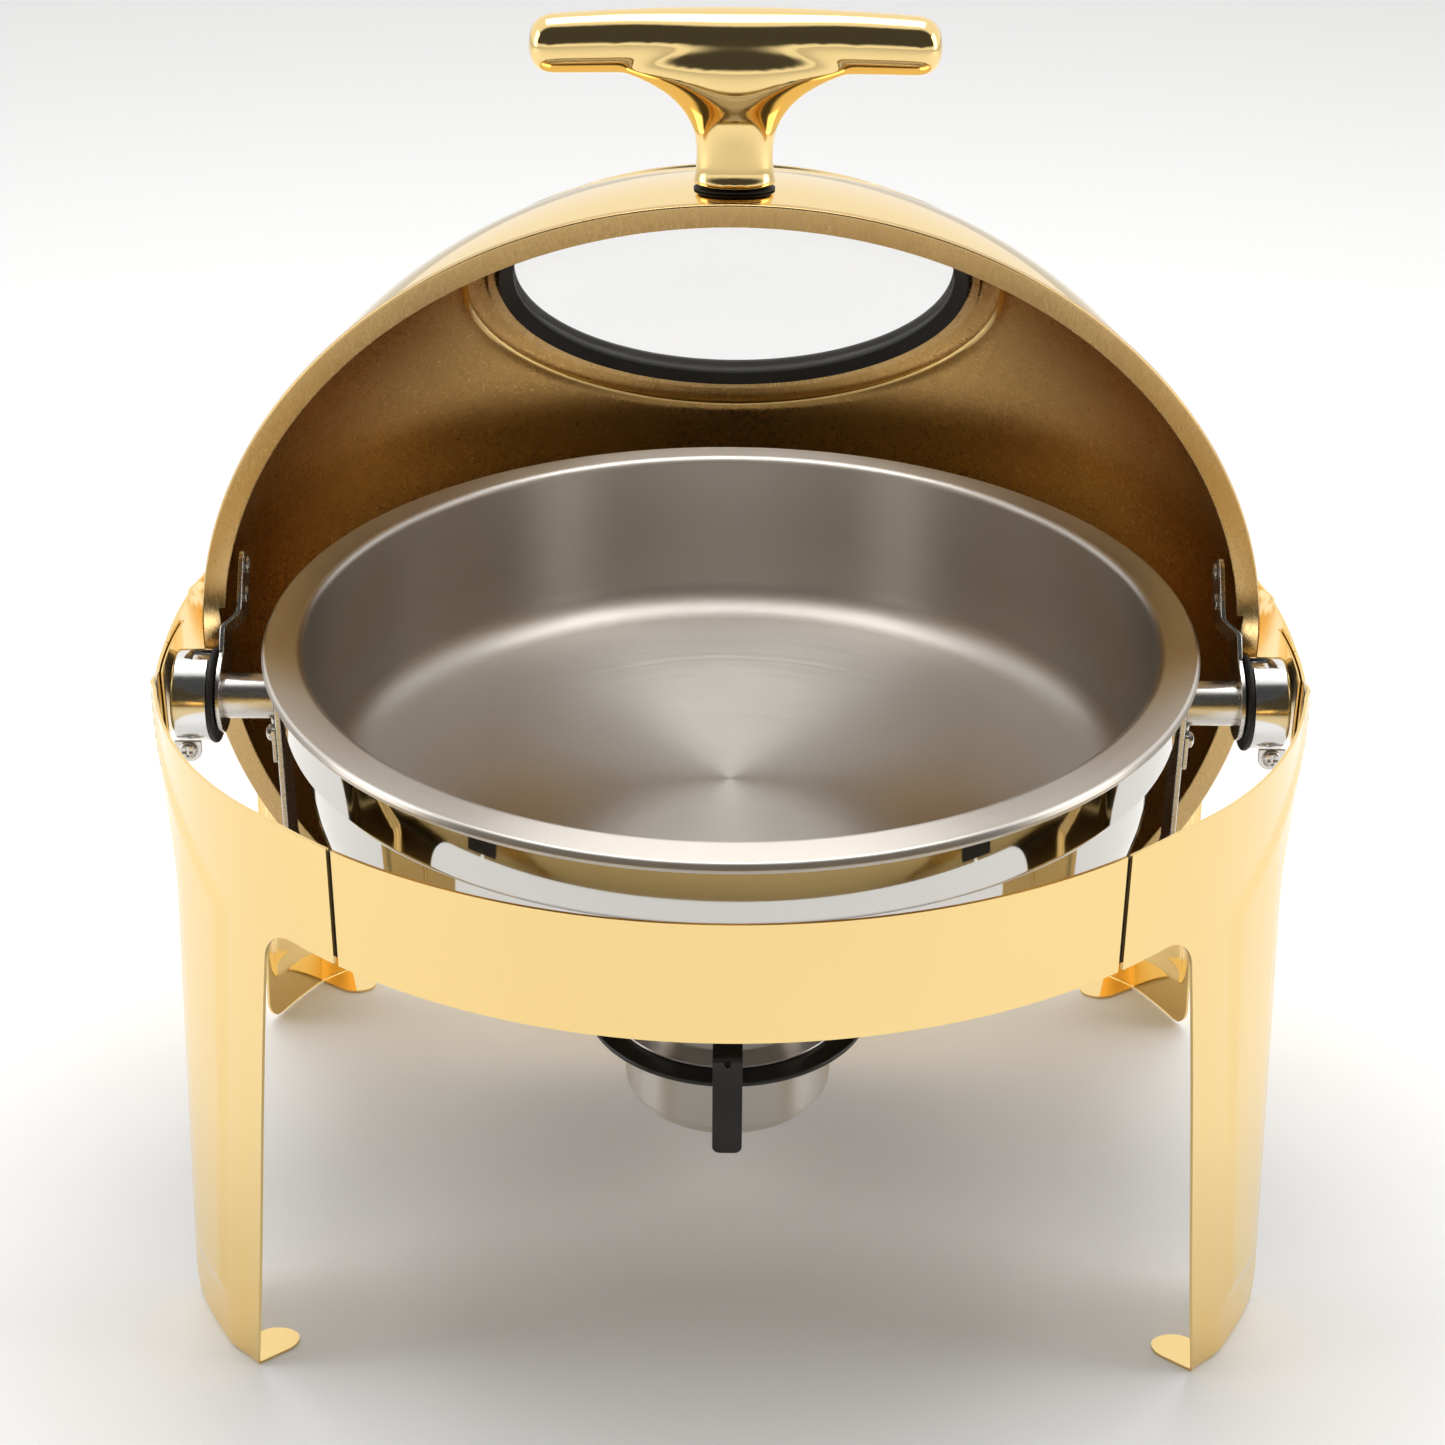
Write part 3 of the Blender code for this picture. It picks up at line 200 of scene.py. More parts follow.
def mesh_of(name, verts, faces):
    mesh = bpy.data.meshes.new(name)
    mesh.from_pydata(verts, [], faces)
    return outward(mesh)


def outward(mesh):
    bm = bmesh.new()
    bm.from_mesh(mesh)
    bmesh.ops.recalc_face_normals(bm, faces=bm.faces)
    bm.to_mesh(mesh)
    bm.free()
    return mesh


def softened(points, steps=4):
    """A closed outline in which a point (a, b, radius) becomes a round corner."""
    outline = []
    for i, point in enumerate(points):
        here = Vector(point[:2])
        radius = point[2] if len(point) > 2 else 0
        if not radius:
            outline.append((here.x, here.y))
            continue
        back = Vector(points[i - 1][:2]) - here
        ahead = Vector(points[(i + 1) % len(points)][:2]) - here
        half = back.angle(ahead) / 2
        reach = min(radius / tan(half), back.length * 0.49, ahead.length * 0.49)
        radius = reach * tan(half)
        centre = here + (back.normalized() + ahead.normalized()).normalized() * (radius / sin(half))
        start = here + back.normalized() * reach - centre
        end = here + ahead.normalized() * reach - centre
        first = atan2(start.y, start.x)
        sweep = (atan2(end.y, end.x) - first + pi) % (2 * pi) - pi
        for k in range(steps + 1):
            turn = first + sweep * k / steps
            outline.append((centre.x + radius * cos(turn), centre.y + radius * sin(turn)))
    return outline


def arc(centre, radius, start_deg, end_deg, steps):
    return [
        (centre[0] + radius * cos(radians(start_deg + (end_deg - start_deg) * i / steps)),
         centre[1] + radius * sin(radians(start_deg + (end_deg - start_deg) * i / steps)))
        for i in range(steps + 1)
    ]


def turned(name, profile, segments=ROUND):
    """A closed (radius, height) outline turned about Z."""
    verts, rows, faces = [], [], []
    for radius, height in profile:
        first = len(verts)
        if radius < 1e-7:
            verts.append((0, 0, height))
            rows.append([first] * segments)
            continue
        verts += [(radius * cos(2 * pi * i / segments), radius * sin(2 * pi * i / segments), height)
                  for i in range(segments)]
        rows.append(list(range(first, first + segments)))
    for ring, after in zip(rows, rows[1:] + rows[:1]):
        for i in range(segments):
            j = (i + 1) % segments
            face = tuple(dict.fromkeys((ring[i], ring[j], after[j], after[i])))
            if len(face) > 2:
                faces.append(face)
    return mesh_of(name, verts, faces)


def loft(name, rings, closed=False):
    """A skin over rings of one length, capped at its two ends unless it closes on itself."""
    count = len(rings[0])
    verts = [point for ring in rings for point in ring]
    faces = []
    last = len(rings) if closed else len(rings) - 1
    for row in range(last):
        low, high = row * count, (row + 1) % len(rings) * count
        for i in range(count):
            j = (i + 1) % count
            faces.append((low + i, low + j, high + j, high + i))
    if not closed:
        faces += [tuple(range(count)), tuple(range(len(verts) - count, len(verts)))]
    return mesh_of(name, verts, faces)


def prism(name, outline, low, high, axis="Z"):
    """A flat outline given a thickness along an axis. For X the outline is (y, z), for Y (x, z)."""
    place = {"Z": lambda a, b, c: (a, b, c), "X": lambda a, b, c: (c, a, b), "Y": lambda a, b, c: (a, c, b)}[axis]
    return loft(name, [[place(a, b, c) for a, b in outline] for c in (low, high)])


def circle(radius, segments=64, start=0.0):
    return [(radius * cos(start + 2 * pi * i / segments), radius * sin(start + 2 * pi * i / segments))
            for i in range(segments)]


def disc(name, radius, low, high, segments=32):
    return turned(name, [(0, high), (radius, high), (radius, low), (0, low)], segments)


def moved(mesh, *matrices):
    for matrix in matrices:
        mesh.transform(matrix)
    return outward(mesh)


def shift(x=0.0, y=0.0, z=0.0):
    return Matrix.Translation((x, y, z))


def to_side(side, y=0.0, z=0.0):
    """Turns a mesh built about Z so that its Z runs outwards along X on one side."""
    return Matrix(((0, 0, side, 0), (side, 0, 0, y), (0, 1, 0, z), (0, 0, 0, 1)))


def to_front(x=0.0, y=0.0, z=0.0):
    """Turns a mesh built about Z so that its Z points to the front."""
    return Matrix(((1, 0, 0, x), (0, 0, -1, y), (0, 1, 0, z), (0, 0, 0, 1)))


def cut(obj, mesh, operation="DIFFERENCE"):
    """Cuts a helper mesh from an object, or joins it, and applies the result."""
    helper = bpy.data.objects.new("helper", mesh)
    bpy.context.scene.collection.objects.link(helper)
    boolean = obj.modifiers.new("cut", "BOOLEAN")
    boolean.operation = operation
    boolean.object = helper
    boolean.solver = "EXACT"
    applied(obj)
    bpy.data.objects.remove(helper, do_unlink=True)


def applied(obj):
    """Replaces an object's mesh with what its modifiers make of it."""
    bpy.context.view_layer.update()
    graph = bpy.context.evaluated_depsgraph_get()
    mesh = bpy.data.meshes.new_from_object(obj.evaluated_get(graph))
    obj.modifiers.clear()
    obj.data = mesh


# ---------------------------------------------------------------- finishes

class Nodes:
    """Short names for building a node material around its Principled BSDF."""

    def __init__(self, name):
        self.material = bpy.data.materials.new(name)
        self.material.use_nodes = True
        self.tree = self.material.node_tree
        self.shader = self.tree.nodes["Principled BSDF"]
        self.place = self.add("ShaderNodeTexCoord").outputs["Object"]

    def add(self, kind, **settings):
        node = self.tree.nodes.new(kind)
        for key, value in settings.items():
            setattr(node, key, value)
        return node

    def link(self, source, target):
        self.tree.links.new(source, target)

    def scaled(self, scale, place=None):
        """Object coordinates stretched by a scale along each axis."""
        node = self.add("ShaderNodeMapping")
        node.inputs["Scale"].default_value = scale
        self.link(place or self.place, node.inputs["Vector"])
        return node.outputs["Vector"]

    def noise(self, scale, detail=3.0, place=None, roughness=0.5):
        node = self.add("ShaderNodeTexNoise")
        node.inputs["Scale"].default_value = scale
        node.inputs["Detail"].default_value = detail
        node.inputs["Roughness"].default_value = roughness
        self.link(place or self.place, node.inputs["Vector"])
        return node.outputs["Fac"]

    def ranged(self, value, low, high, start=0.3, end=0.7):
        """Maps a value between start and end to a range."""
        node = self.add("ShaderNodeMapRange")
        for key, number in (("From Min", start), ("From Max", end), ("To Min", low), ("To Max", high)):
            node.inputs[key].default_value = number
        self.link(value, node.inputs["Value"])
        return node.outputs["Result"]

    def math(self, operation, a, b=0.0):
        node = self.add("ShaderNodeMath", operation=operation)
        for socket, value in zip(node.inputs, (a, b)):
            if isinstance(value, (int, float)):
                socket.default_value = value
            else:
                self.link(value, socket)
        return node.outputs["Value"]

    def mixed(self, share, a, b):
        node = self.add("ShaderNodeMix", data_type="RGBA")
        self.link(share, node.inputs["Factor"])
        for key, colour in (("A", a), ("B", b)):
            socket = next(s for s in node.inputs if s.name == key and s.type == "RGBA")
            if isinstance(colour, tuple):
                socket.default_value = (*colour, 1.0)
            else:
                self.link(colour, socket)
        return next(s for s in node.outputs if s.type == "RGBA")

    def bumped(self, *layers):
        """Bumps laid over each other, each (height, distance in metres)."""
        normal = None
        for height, distance in layers:
            node = self.add("ShaderNodeBump")
            node.inputs["Distance"].default_value = distance
            self.link(height, node.inputs["Height"])
            if normal:
                self.link(normal, node.inputs["Normal"])
            normal = node.outputs["Normal"]
        self.link(normal, self.shader.inputs["Normal"])

    def spun(self):
        """Coordinates that change only with the distance from Z and slowly with height: turned marks."""
        split = self.add("ShaderNodeSeparateXYZ")
        self.link(self.place, split.inputs["Vector"])
        squares = [self.math("POWER", split.outputs[axis], 2.0) for axis in "XY"]
        join = self.add("ShaderNodeCombineXYZ")
        self.link(self.math("SQRT", self.math("ADD", *squares)), join.inputs["X"])
        self.link(split.outputs["Z"], join.inputs["Y"])
        return join.outputs["Vector"]

    def set(self, **values):
        for key, value in values.items():
            self.shader.inputs[key.replace("_", " ")].default_value = value


def metal(name, colour, dark, rough, grain=None, grain_depth=0.0, wave=0.0, spun=0.0):
    """A metal with slight changes of tone, faint smudges, fine marks along its grain and a soft wave.

    rough is (lowest, highest, change along a mark). spun is how strongly light spreads across turned marks.
    """
    n = Nodes(name)
    n.set(Metallic=1.0)
    n.link(n.mixed(n.ranged(n.noise(5.0, 2.0), 0.0, 1.0), dark, colour), n.shader.inputs["Base Color"])
    smudge = n.ranged(n.noise(18.0, 4.0, roughness=0.55), rough[0], rough[1], 0.35, 0.7)
    marks_place = n.scaled(grain, n.spun() if spun else None) if grain else n.place
    marks = n.noise(1.0 if grain else 900.0, 3.0, marks_place, 0.6)
    roughness = n.math("ADD", smudge, n.ranged(marks, -rough[2], rough[2]))
    n.link(n.math("MAXIMUM", roughness, 0.02), n.shader.inputs["Roughness"])
    layers = []
    if wave:
        layers.append((n.noise(11.0, 1.0), wave))
    if grain_depth:
        layers.append((marks, grain_depth))
    if layers:
        n.bumped(*layers)
    if spun:
        n.set(Anisotropic=spun, Anisotropic_Rotation=0.25)
        tangent = n.add("ShaderNodeTangent", direction_type="RADIAL", axis="Z")
        n.link(tangent.outputs["Tangent"], n.shader.inputs["Tangent"])
    return n.material


def coated(name, colour, light, rough, grain, depth):
    """A painted, moulded or rubber surface with a fine pebble and dusty high spots."""
    n = Nodes(name)
    pebble = n.noise(grain, 4.0, roughness=0.6)
    tone = n.noise(30.0, 4.0)
    n.link(n.mixed(n.ranged(tone, 0.0, 1.0, 0.35, 0.75), colour, light), n.shader.inputs["Base Color"])
    n.link(n.ranged(pebble, rough[0], rough[1]), n.shader.inputs["Roughness"])
    n.bumped((pebble, depth))
    return n.material


def clear_glass():
    """Thin clear glass: mostly seen through, with a sharp reflection that grows at glancing angles."""
    n = Nodes("window_glass_clear")
    haze = n.noise(16.0, 4.0)
    tone = n.mixed(n.ranged(haze, 0.0, 1.0), (0.90, 0.91, 0.90), (0.95, 0.955, 0.95))
    n.link(tone, n.shader.inputs["Base Color"])
    n.link(n.ranged(haze, 0.02, 0.05), n.shader.inputs["Roughness"])
    n.set(Alpha=0.10, IOR=1.5)
    return n.material


GOLD = metal("gold_polished", (0.92, 0.69, 0.31), (0.90, 0.66, 0.28), (0.07, 0.10, 0.012), wave=0.0001)
# Back of the frame sheet, on its inner faces and cut edges: brushed and rougher, with its gold darkened far below the
# polished face as painted shade for the inside of the ring.
GOLD_BACK_PAINTED_SHADE = metal("gold_unpolished", (0.20, 0.135, 0.06), (0.16, 0.105, 0.045), (0.20, 0.28, 0.04),
                  grain=(300.0, 300.0, 1200.0), grain_depth=0.000006)
GOLD_SATIN = metal("gold_satin_spun", (0.70, 0.455, 0.175), (0.67, 0.43, 0.16), (0.27, 0.30, 0.03),
                   grain=(500.0, 500.0, 500.0), grain_depth=0.000004)
GOLD_EDGE = metal("gold_brushed", (0.70, 0.49, 0.22), (0.66, 0.45, 0.20), (0.24, 0.28, 0.04),
                  grain=(900.0, 900.0, 200.0), grain_depth=0.000006)
STEEL = metal("steel_satin_brushed", (0.74, 0.71, 0.67), (0.70, 0.67, 0.63), (0.24, 0.30, 0.05),
              grain=(60.0, 1200.0, 1200.0), grain_depth=0.000006)
SPUN = metal("steel_spun", (0.72, 0.68, 0.63), (0.68, 0.64, 0.59), (0.34, 0.37, 0.04),
             grain=(2600.0, 2600.0, 1.0), grain_depth=0.000003, spun=0.88)
MIRROR = metal("steel_mirror", (0.64, 0.62, 0.59), (0.60, 0.58, 0.55), (0.035, 0.06, 0.008), wave=0.0002)
CHROME = metal("chrome_bright", (0.84, 0.83, 0.82), (0.80, 0.79, 0.78), (0.14, 0.18, 0.03),
               grain=(900.0, 120.0, 900.0), grain_depth=0.000003)
ENAMEL = coated("enamel_black", (0.012, 0.010, 0.008), (0.028, 0.022, 0.018), (0.28, 0.42), 420.0, 0.00003)
RUBBER = coated("rubber_black", (0.012, 0.012, 0.012), (0.030, 0.030, 0.030), (0.50, 0.68), 900.0, 0.00003)
GLASS = clear_glass()
FINISH = {
    "gold": GOLD, "gold_satin": GOLD_EDGE, "steel_satin": STEEL, "steel_polished": MIRROR,
    "chrome": CHROME, "black_enamel": ENAMEL, "black_rubber": RUBBER, "window_glass": GLASS,
}


# ---------------------------------------------------------------- pieces

def piece(node, mesh, *finishes, sharp_deg=35, edge=0.0):
    """A fine surface that stands for a CAD node. edge is the radius that softens its sharp edges."""
    obj = bpy.data.objects.new(f"{node}_surface", mesh)
    bpy.context.scene.collection.objects.link(obj)
    mesh.materials.clear()
    for finish in finishes or (FINISH[SLOT[node]],):
        mesh.materials.append(finish)
    if edge:
        bevel = obj.modifiers.new("edge", "BEVEL")
        bevel.width = edge
        bevel.segments = 2
        bevel.limit_method = "ANGLE"
        bevel.angle_limit = radians(sharp_deg)
    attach(obj, BODY[node])
    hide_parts(node)
    shade(obj, sharp_deg)
    return obj


def shade(obj, sharp_deg=35):
    obj.data.shade_smooth()
    obj.data.set_sharp_from_angle(angle=radians(sharp_deg))
    if "weighted" not in obj.modifiers:
        weighted = obj.modifiers.new("weighted", "WEIGHTED_NORMAL")
        weighted.keep_sharp = True


# ---------------------------------------------------------------- frame ring and legs

def leg_span(height):
    share = min(max(1 - height / BAND_LOW, 0.0), 1.0)
    return lerp(LEG_FRONT_DEG, share), lerp(LEG_BACK_DEG, share)


def panel_depth(azimuth, height):
    """Distance inside the raised panel of a leg, in metres; negative outside it."""
    front, back = leg_span(min(height, BAND_LOW))
    metre = radians(RING_R)
    left = (azimuth - lerp((front, back), PANEL_SPAN[0])) * metre
    right = (lerp((front, back), PANEL_SPAN[1]) - azimuth) * metre
    corner = lerp(leg_span(BAND_LOW), PANEL_SPAN[0])
    run = Vector(((PANEL_TOP[0] - corner) * metre, PANEL_TOP[1] - PANEL_CORNER_Z))
    from_corner = Vector(((azimuth - corner) * metre, height - PANEL_CORNER_Z))
    below_top = -run.normalized().cross(from_corner)
    if height > PANEL_CORNER_Z:
        left = below_top
        edge = lerp((82.0, lerp((front, back), PANEL_SPAN[1])), smooth((BAND_HIGH - height) / 0.05))
        right = (edge - azimuth) * metre
    return min(left, right, height - PANEL_LOW, below_top)


def on_frame(azimuth, height, depth):
    """(radius, height) of a point of the flat pattern once it is bent, depth behind the outer face."""
    front, back = leg_span(height)
    share = min(max(1 - height / BAND_LOW, 0.0), 1.0)
    radius = RING_R + (LEG_FOOT_R - RING_R) * share
    across = (azimuth - front) / (back - front)
    radius -= FLANK_TUCK * smooth(1 - height / BAND_LOW) * smooth(1 - across / PANEL_SPAN[0])
    radius += PANEL_RAISE * smooth(panel_depth(azimuth, height) / PANEL_RAMP)
    if height >= TAB_BEND:
        return radius - depth, height
    turn = (TAB_BEND - height) / TAB_BEND
    run = max(turn - pi / 2, 0.0) * TAB_BEND
    turn = min(turn, pi / 2)
    reach = TAB_BEND - depth
    return radius - TAB_BEND + reach * cos(turn) - run, TAB_BEND - reach * sin(turn)


def bent_sheet(name, outline, azimuths, heights, place):
    """A closed sheet: a flat pattern sliced finely, bent at its outer face and again one sheet deeper."""
    flat = bmesh.new()
    flat.faces.new([flat.verts.new((a, h * 1000, 0)) for a, h in outline])
    lines = [((azimuth, 0, 0), (1, 0, 0)) for azimuth in azimuths]
    lines += [((0, height * 1000, 0), (0, 1, 0)) for height in heights]
    for point, normal in lines:
        bmesh.ops.bisect_plane(flat, geom=flat.verts[:] + flat.edges[:] + flat.faces[:], dist=1e-4,
                               plane_co=point, plane_no=normal)
    flat.verts.index_update()
    verts, faces = [], []
    count = len(flat.verts)
    for depth in (0.0, SHEET):
        for vert in flat.verts:
            azimuth, height = vert.co.x, vert.co.y / 1000
            verts.append(place(azimuth, *on_frame(azimuth, height, depth)))
    for face in flat.faces:
        corners = [v.index for v in face.verts]
        faces += [tuple(corners), tuple(i + count for i in reversed(corners))]
    for edge in flat.edges:
        if edge.is_boundary:
            i, j = (v.index for v in edge.verts)
            faces.append((i, j, j + count, i + count))
    flat.free()
    mesh = mesh_of(name, verts, faces)
    # Inner faces and cut edges take the second finish, the back gold darkened with painted shade.
    marks = [max(face.vertices) >= count for face in mesh.polygons]
    mesh.polygons.foreach_set("material_index", [int(mark) for mark in marks])
    return mesh


def leg_outline(top_edge):
    """Flat pattern of a leg with its stretch of band, in (azimuth, height)."""
    deg = degrees(1 / RING_R)
    foot_deg = degrees(1 / LEG_FOOT_R)
    seam = SEAM_DEG + SEAM_HALF_DEG
    outline = [(seam, BAND_HIGH), (seam, BAND_LOW)]
    for x, z in arc((-FRONT_FILLET, -FRONT_FILLET), FRONT_FILLET, 90, 0, 16):
        outline.append((leg_span(BAND_LOW + z)[0] + x * deg, BAND_LOW + z))
    outline.append((LEG_FRONT_DEG[1], 0.0))
    outline.append((TAB_CENTRE_DEG - TAB_HALF_WIDTH * foot_deg, 0.0))
    tip = arc((0, TAB_BEND - TAB_LENGTH + TAB_HALF_WIDTH), TAB_HALF_WIDTH, 180, 360, 24)
    outline += [(TAB_CENTRE_DEG + x * foot_deg, z) for x, z in tip]
    outline.append((TAB_CENTRE_DEG + TAB_HALF_WIDTH * foot_deg, 0.0))
    corner = arc((-FOOT_CORNER, FOOT_CORNER), FOOT_CORNER, 270, 360, 12)
    outline += [(LEG_BACK_DEG[1] + x * foot_deg, z) for x, z in corner]
    for x, z in arc((BACK_FILLET, -BACK_FILLET), BACK_FILLET, 180, 90, 20):
        outline.append((leg_span(BAND_LOW + z)[1] + x * deg, BAND_LOW + z))
    outline.append((SIDE_SEAM_DEG, BAND_LOW))
    return outline + list(reversed(top_edge))


def make_leg(side, hand, end, where):
    def place(azimuth, radius, height):
        return (side * radius * sin(radians(azimuth)), end * radius * cos(radians(azimuth)), height)

    top_edge = FRONT_TOP_EDGE if end < 0 else REAR_TOP_EDGE
    azimuths = [SEAM_DEG + 1 + i * 0.65 for i in range(81)]
    heights = [TAB_BEND * (1 - pi / 2 * k / 5) for k in range(6)]
    heights += [0.0045 + i * 0.0030 for i in range(90) if 0.0045 + i * 0.0030 < BAND_HIGH - 0.001]
    name = f"{where}_leg_{hand}"
    piece(name, bent_sheet(name, leg_outline(top_edge), azimuths, heights, place), GOLD, GOLD_BACK_PAINTED_SHADE, sharp_deg=40)


def make_band(end, where):
    edge = SEAM_DEG - SEAM_HALF_DEG
    outline = [(-edge, BAND_HIGH), (-edge, BAND_LOW), (edge, BAND_LOW), (edge, BAND_HIGH)]

    def place(azimuth, radius, height):
        return (radius * sin(radians(azimuth)), end * radius * cos(radians(azimuth)), height)

    count = 96
    azimuths = [-edge + 2 * edge * i / count for i in range(1, count)]
    heights = [lerp((BAND_LOW, BAND_HIGH), i / 8) for i in range(1, 8)]
    piece(f"{where}_band", bent_sheet(f"{where}_band", outline, azimuths, heights, place), GOLD, GOLD_BACK_PAINTED_SHADE)


def curved_plate(node, span_deg, heights, radius, thickness, side, end=-1):
    """A plate bent to lie on a cylinder about Z, between two azimuths and two heights."""
    rings = []
    for i in range(25):
        turn = radians(lerp(span_deg, i / 24))
        rings.append([(side * r * sin(turn), end * r * cos(turn), z) for r, z in (
            (radius, heights[0]), (radius, heights[1]),
            (radius - thickness, heights[1]), (radius - thickness, heights[0]))])
    piece(node, loft(node, rings), edge=0.0002)


def make_frame():
    behind = RING_R - SHEET - GAP
    span = (SEAM_DEG - SPLICE_HALF_DEG, SEAM_DEG + SPLICE_HALF_DEG)
    heights = (BAND_LOW + 0.002, BAND_HIGH - 0.002)
    for end, where in ENDS:
        make_band(end, where)
        for side, hand in SIDES:
            make_leg(side, hand, end, where)
            curved_plate(f"{where}_splice_{hand}", span, heights, behind, 0.001, side, end)


# ---------------------------------------------------------------- hinges

def screw(node, place, head_r, head_h, shank_r, shank, recess=None):
    """A pan head screw or rivet about Z, its head's underside at 0, then placed."""
    profile = [(0, head_h)]
    profile += [(head_r * sin(radians(a)), head_h * (0.25 + 0.75 * cos(radians(a)))) for a in (12, 26, 42, 58, 74)]
    profile += softened([(head_r, head_h * 0.22, head_h * 0.15), (head_r, 0, head_h * 0.12), (shank_r, 0),
                         (shank_r, -shank), (0, -shank)], 2)
    obj = piece(node, turned(node, profile, SMALL_ROUND))
    if recess:
        width, length, depth = recess
        a, b = width / 2, length / 2
        plus = [(a, a), (a, b), (-a, b), (-a, a), (-b, a), (-b, -a),
                (-a, -a), (-a, -b), (a, -b), (a, -a), (b, -a), (b, a)]
        cut(obj, prism("plus", plus, head_h - depth, head_h + 0.003))
    moved(obj.data, place)
    shade(obj)
    return obj


def make_housing(side, hand):
    low, high = HOUSING_X
    profile = softened([
        (0, high), (HOUSING_R, high, 0.0016), (HOUSING_R, low, 0.0004), (SHAFT_R + GAP, low),
        (SHAFT_R + GAP, low + 0.003), (0, low + 0.003)], 5)
    housing = piece(f"hinge_housing_{hand}", moved(turned("housing", profile, 96), to_side(side, 0, HINGE_Z)))
    slot = softened([(0.0045, HOUSING_R - 0.0018, 0.0006), (0.0045, 0.03), (-0.0045, 0.03),
                     (-0.0045, HOUSING_R - 0.0018, 0.0006)])
    slot = [(y, HINGE_Z + z) for y, z in slot]
    cut(housing, prism("slot", slot, *sorted((side * (low - 0.001), side * (low + 0.007))), axis="X"))
    dimple = disc("dimple", 0.0011, HOUSING_R - 0.0006, HOUSING_R + 0.002, 24)
    lean = Matrix.Rotation(radians(90 + 38), 4, "X")
    cut(housing, moved(dimple, lean, shift(side * 0.2190, 0, HINGE_Z)))
    shade(housing)


def make_hinge(side, hand):
    heights = (HINGE_Z - 0.0085, HINGE_Z + 0.0225)
    curved_plate(f"hinge_plate_{hand}", (84, 96), heights, RING_R - SHEET - GAP, 0.0008, side)
    make_housing(side, hand)

    low, high = HOUSING_RING_X
    outer, bore = HOUSING_R + 0.0006, SHAFT_R + GAP
    profile = softened([(outer, high, 0.0006), (outer, low, 0.0008), (bore, low, 0.0003), (bore, high)])
    piece(f"housing_ring_{hand}", moved(turned("ring", profile, 96), to_side(side, 0, HINGE_Z)))

    tab_x = side * 0.2212
    top, bottom = HINGE_Z - 0.0135, HINGE_Z - 0.0175
    outline = [(tab_x - 0.0055, top), (tab_x + 0.0055, top)] + arc((tab_x, bottom), 0.0055, 0, -180, 24)
    face = -sqrt(HOUSING_R ** 2 - 0.0135 ** 2) - 2 * GAP
    tab = piece(f"hinge_tab_{hand}", prism("tab", outline, face - 0.0012, face, "Y"))
    cut(tab, moved(disc("hole", 0.0018, -0.02, 0.03), to_front(tab_x, 0, bottom)))
    bevel = tab.modifiers.new("edge", "BEVEL")
    bevel.width = 0.0003
    bevel.segments = 2
    shade(tab)
    place = to_front(tab_x, face - 0.0012 - GAP, bottom)
    screw(f"tab_screw_{hand}", place, 0.0038, 0.0020, 0.0015, 0.0032, recess=(0.0010, 0.0044, 0.0010))

    bore, end = SHAFT_R - 0.0012, HOUSING_X[0] + 0.0025
    profile = softened([(SHAFT_R, end), (SHAFT_R, SHAFT_X[0], 0.0004), (bore, SHAFT_X[0], 0.0004), (bore, end)])
    piece(f"shaft_tube_{hand}", moved(turned("tube", profile, 96), to_side(side, 0, HINGE_Z)))


# ---------------------------------------------------------------- cradle, bracket and burner

def make_cradle():
    """The flat bar hangs from both shafts and passes under the water pan."""
    outer, sheet, bend, top = STRAP_X[1], STRAP_X[1] - STRAP_X[0], 0.012, HINGE_Z + 0.0130
    outline = [(outer, top), (outer, CRADLE_Z, bend), (-outer, CRADLE_Z, bend), (-outer, top),
               (-STRAP_X[0], top), (-STRAP_X[0], CRADLE_Z + sheet, bend - sheet),
               (STRAP_X[0], CRADLE_Z + sheet, bend - sheet), (STRAP_X[0], top)]
    piece("pan_cradle", prism("cradle", softened(outline, 12), -0.011, 0.011, "Y"), edge=0.0004)
    for side, hand in SIDES:
        low, high = STRAP_X[1] + GAP, STRAP_X[1] + 0.0018
        y, z = 0.011, (HINGE_Z - 0.0260, HINGE_Z - 0.0100)
        outline = softened([(y, z[1], 0.0015), (-y, z[1], 0.0015), (-y, z[0], 0.0015), (y, z[0], 0.0015)])
        plate = prism("plate", outline, *sorted((side * low, side * high)), axis="X")
        piece(f"strap_plate_{hand}", plate, edge=0.0002)
        for step, where in ((-0.0062, "front"), (0.0062, "rear")):
            place = to_side(side, step, HINGE_Z - 0.0138) @ shift(z=high + GAP)
            screw(f"strap_bolt_{where}_{hand}", place, 0.0036, 0.0026, 0.0016, 0.0040)


def make_bracket():
    top = CRADLE_Z - GAP
    rise = top - BRACKET_SHEET - RING_Z
    knee = ARM_KNEE_X + rise
    half = BRACKET_SHEET * (sqrt(2) - 1)
    for side, hand in SIDES:
        outline = [(ARM_END_X, RING_Z), (ARM_KNEE_X, RING_Z, 0.003), (knee, RING_Z + rise, 0.003),
                   (knee + ARM_FLANGE, RING_Z + rise), (knee + ARM_FLANGE, top), (knee - half, top, 0.001),
                   (ARM_KNEE_X - half, RING_Z + BRACKET_SHEET, 0.001), (ARM_END_X, RING_Z + BRACKET_SHEET)]
        outline = [(side * x, z) for x, z in softened(outline)]
        piece(f"burner_arm_{hand}", prism("arm", outline, -0.009, 0.009, "Y"), edge=0.0003)
        place = shift(side * (knee + ARM_FLANGE / 2), 0, top - BRACKET_SHEET - GAP) @ Matrix.Rotation(pi, 4, "X")
        screw(f"arm_bolt_{hand}", place, 0.0040, 0.0026, 0.0019, 0.0046)
    low = RING_Z + BRACKET_SHEET + GAP
    inner, outer = BURNER_RING_R
    high = low + RING_SHEET
    profile = softened([(inner, low, 0.0004), (inner, high, 0.0006), (outer, high, 0.0009), (outer, low, 0.0006)])
    piece("burner_ring", turned("ring", profile, 128))
    return high


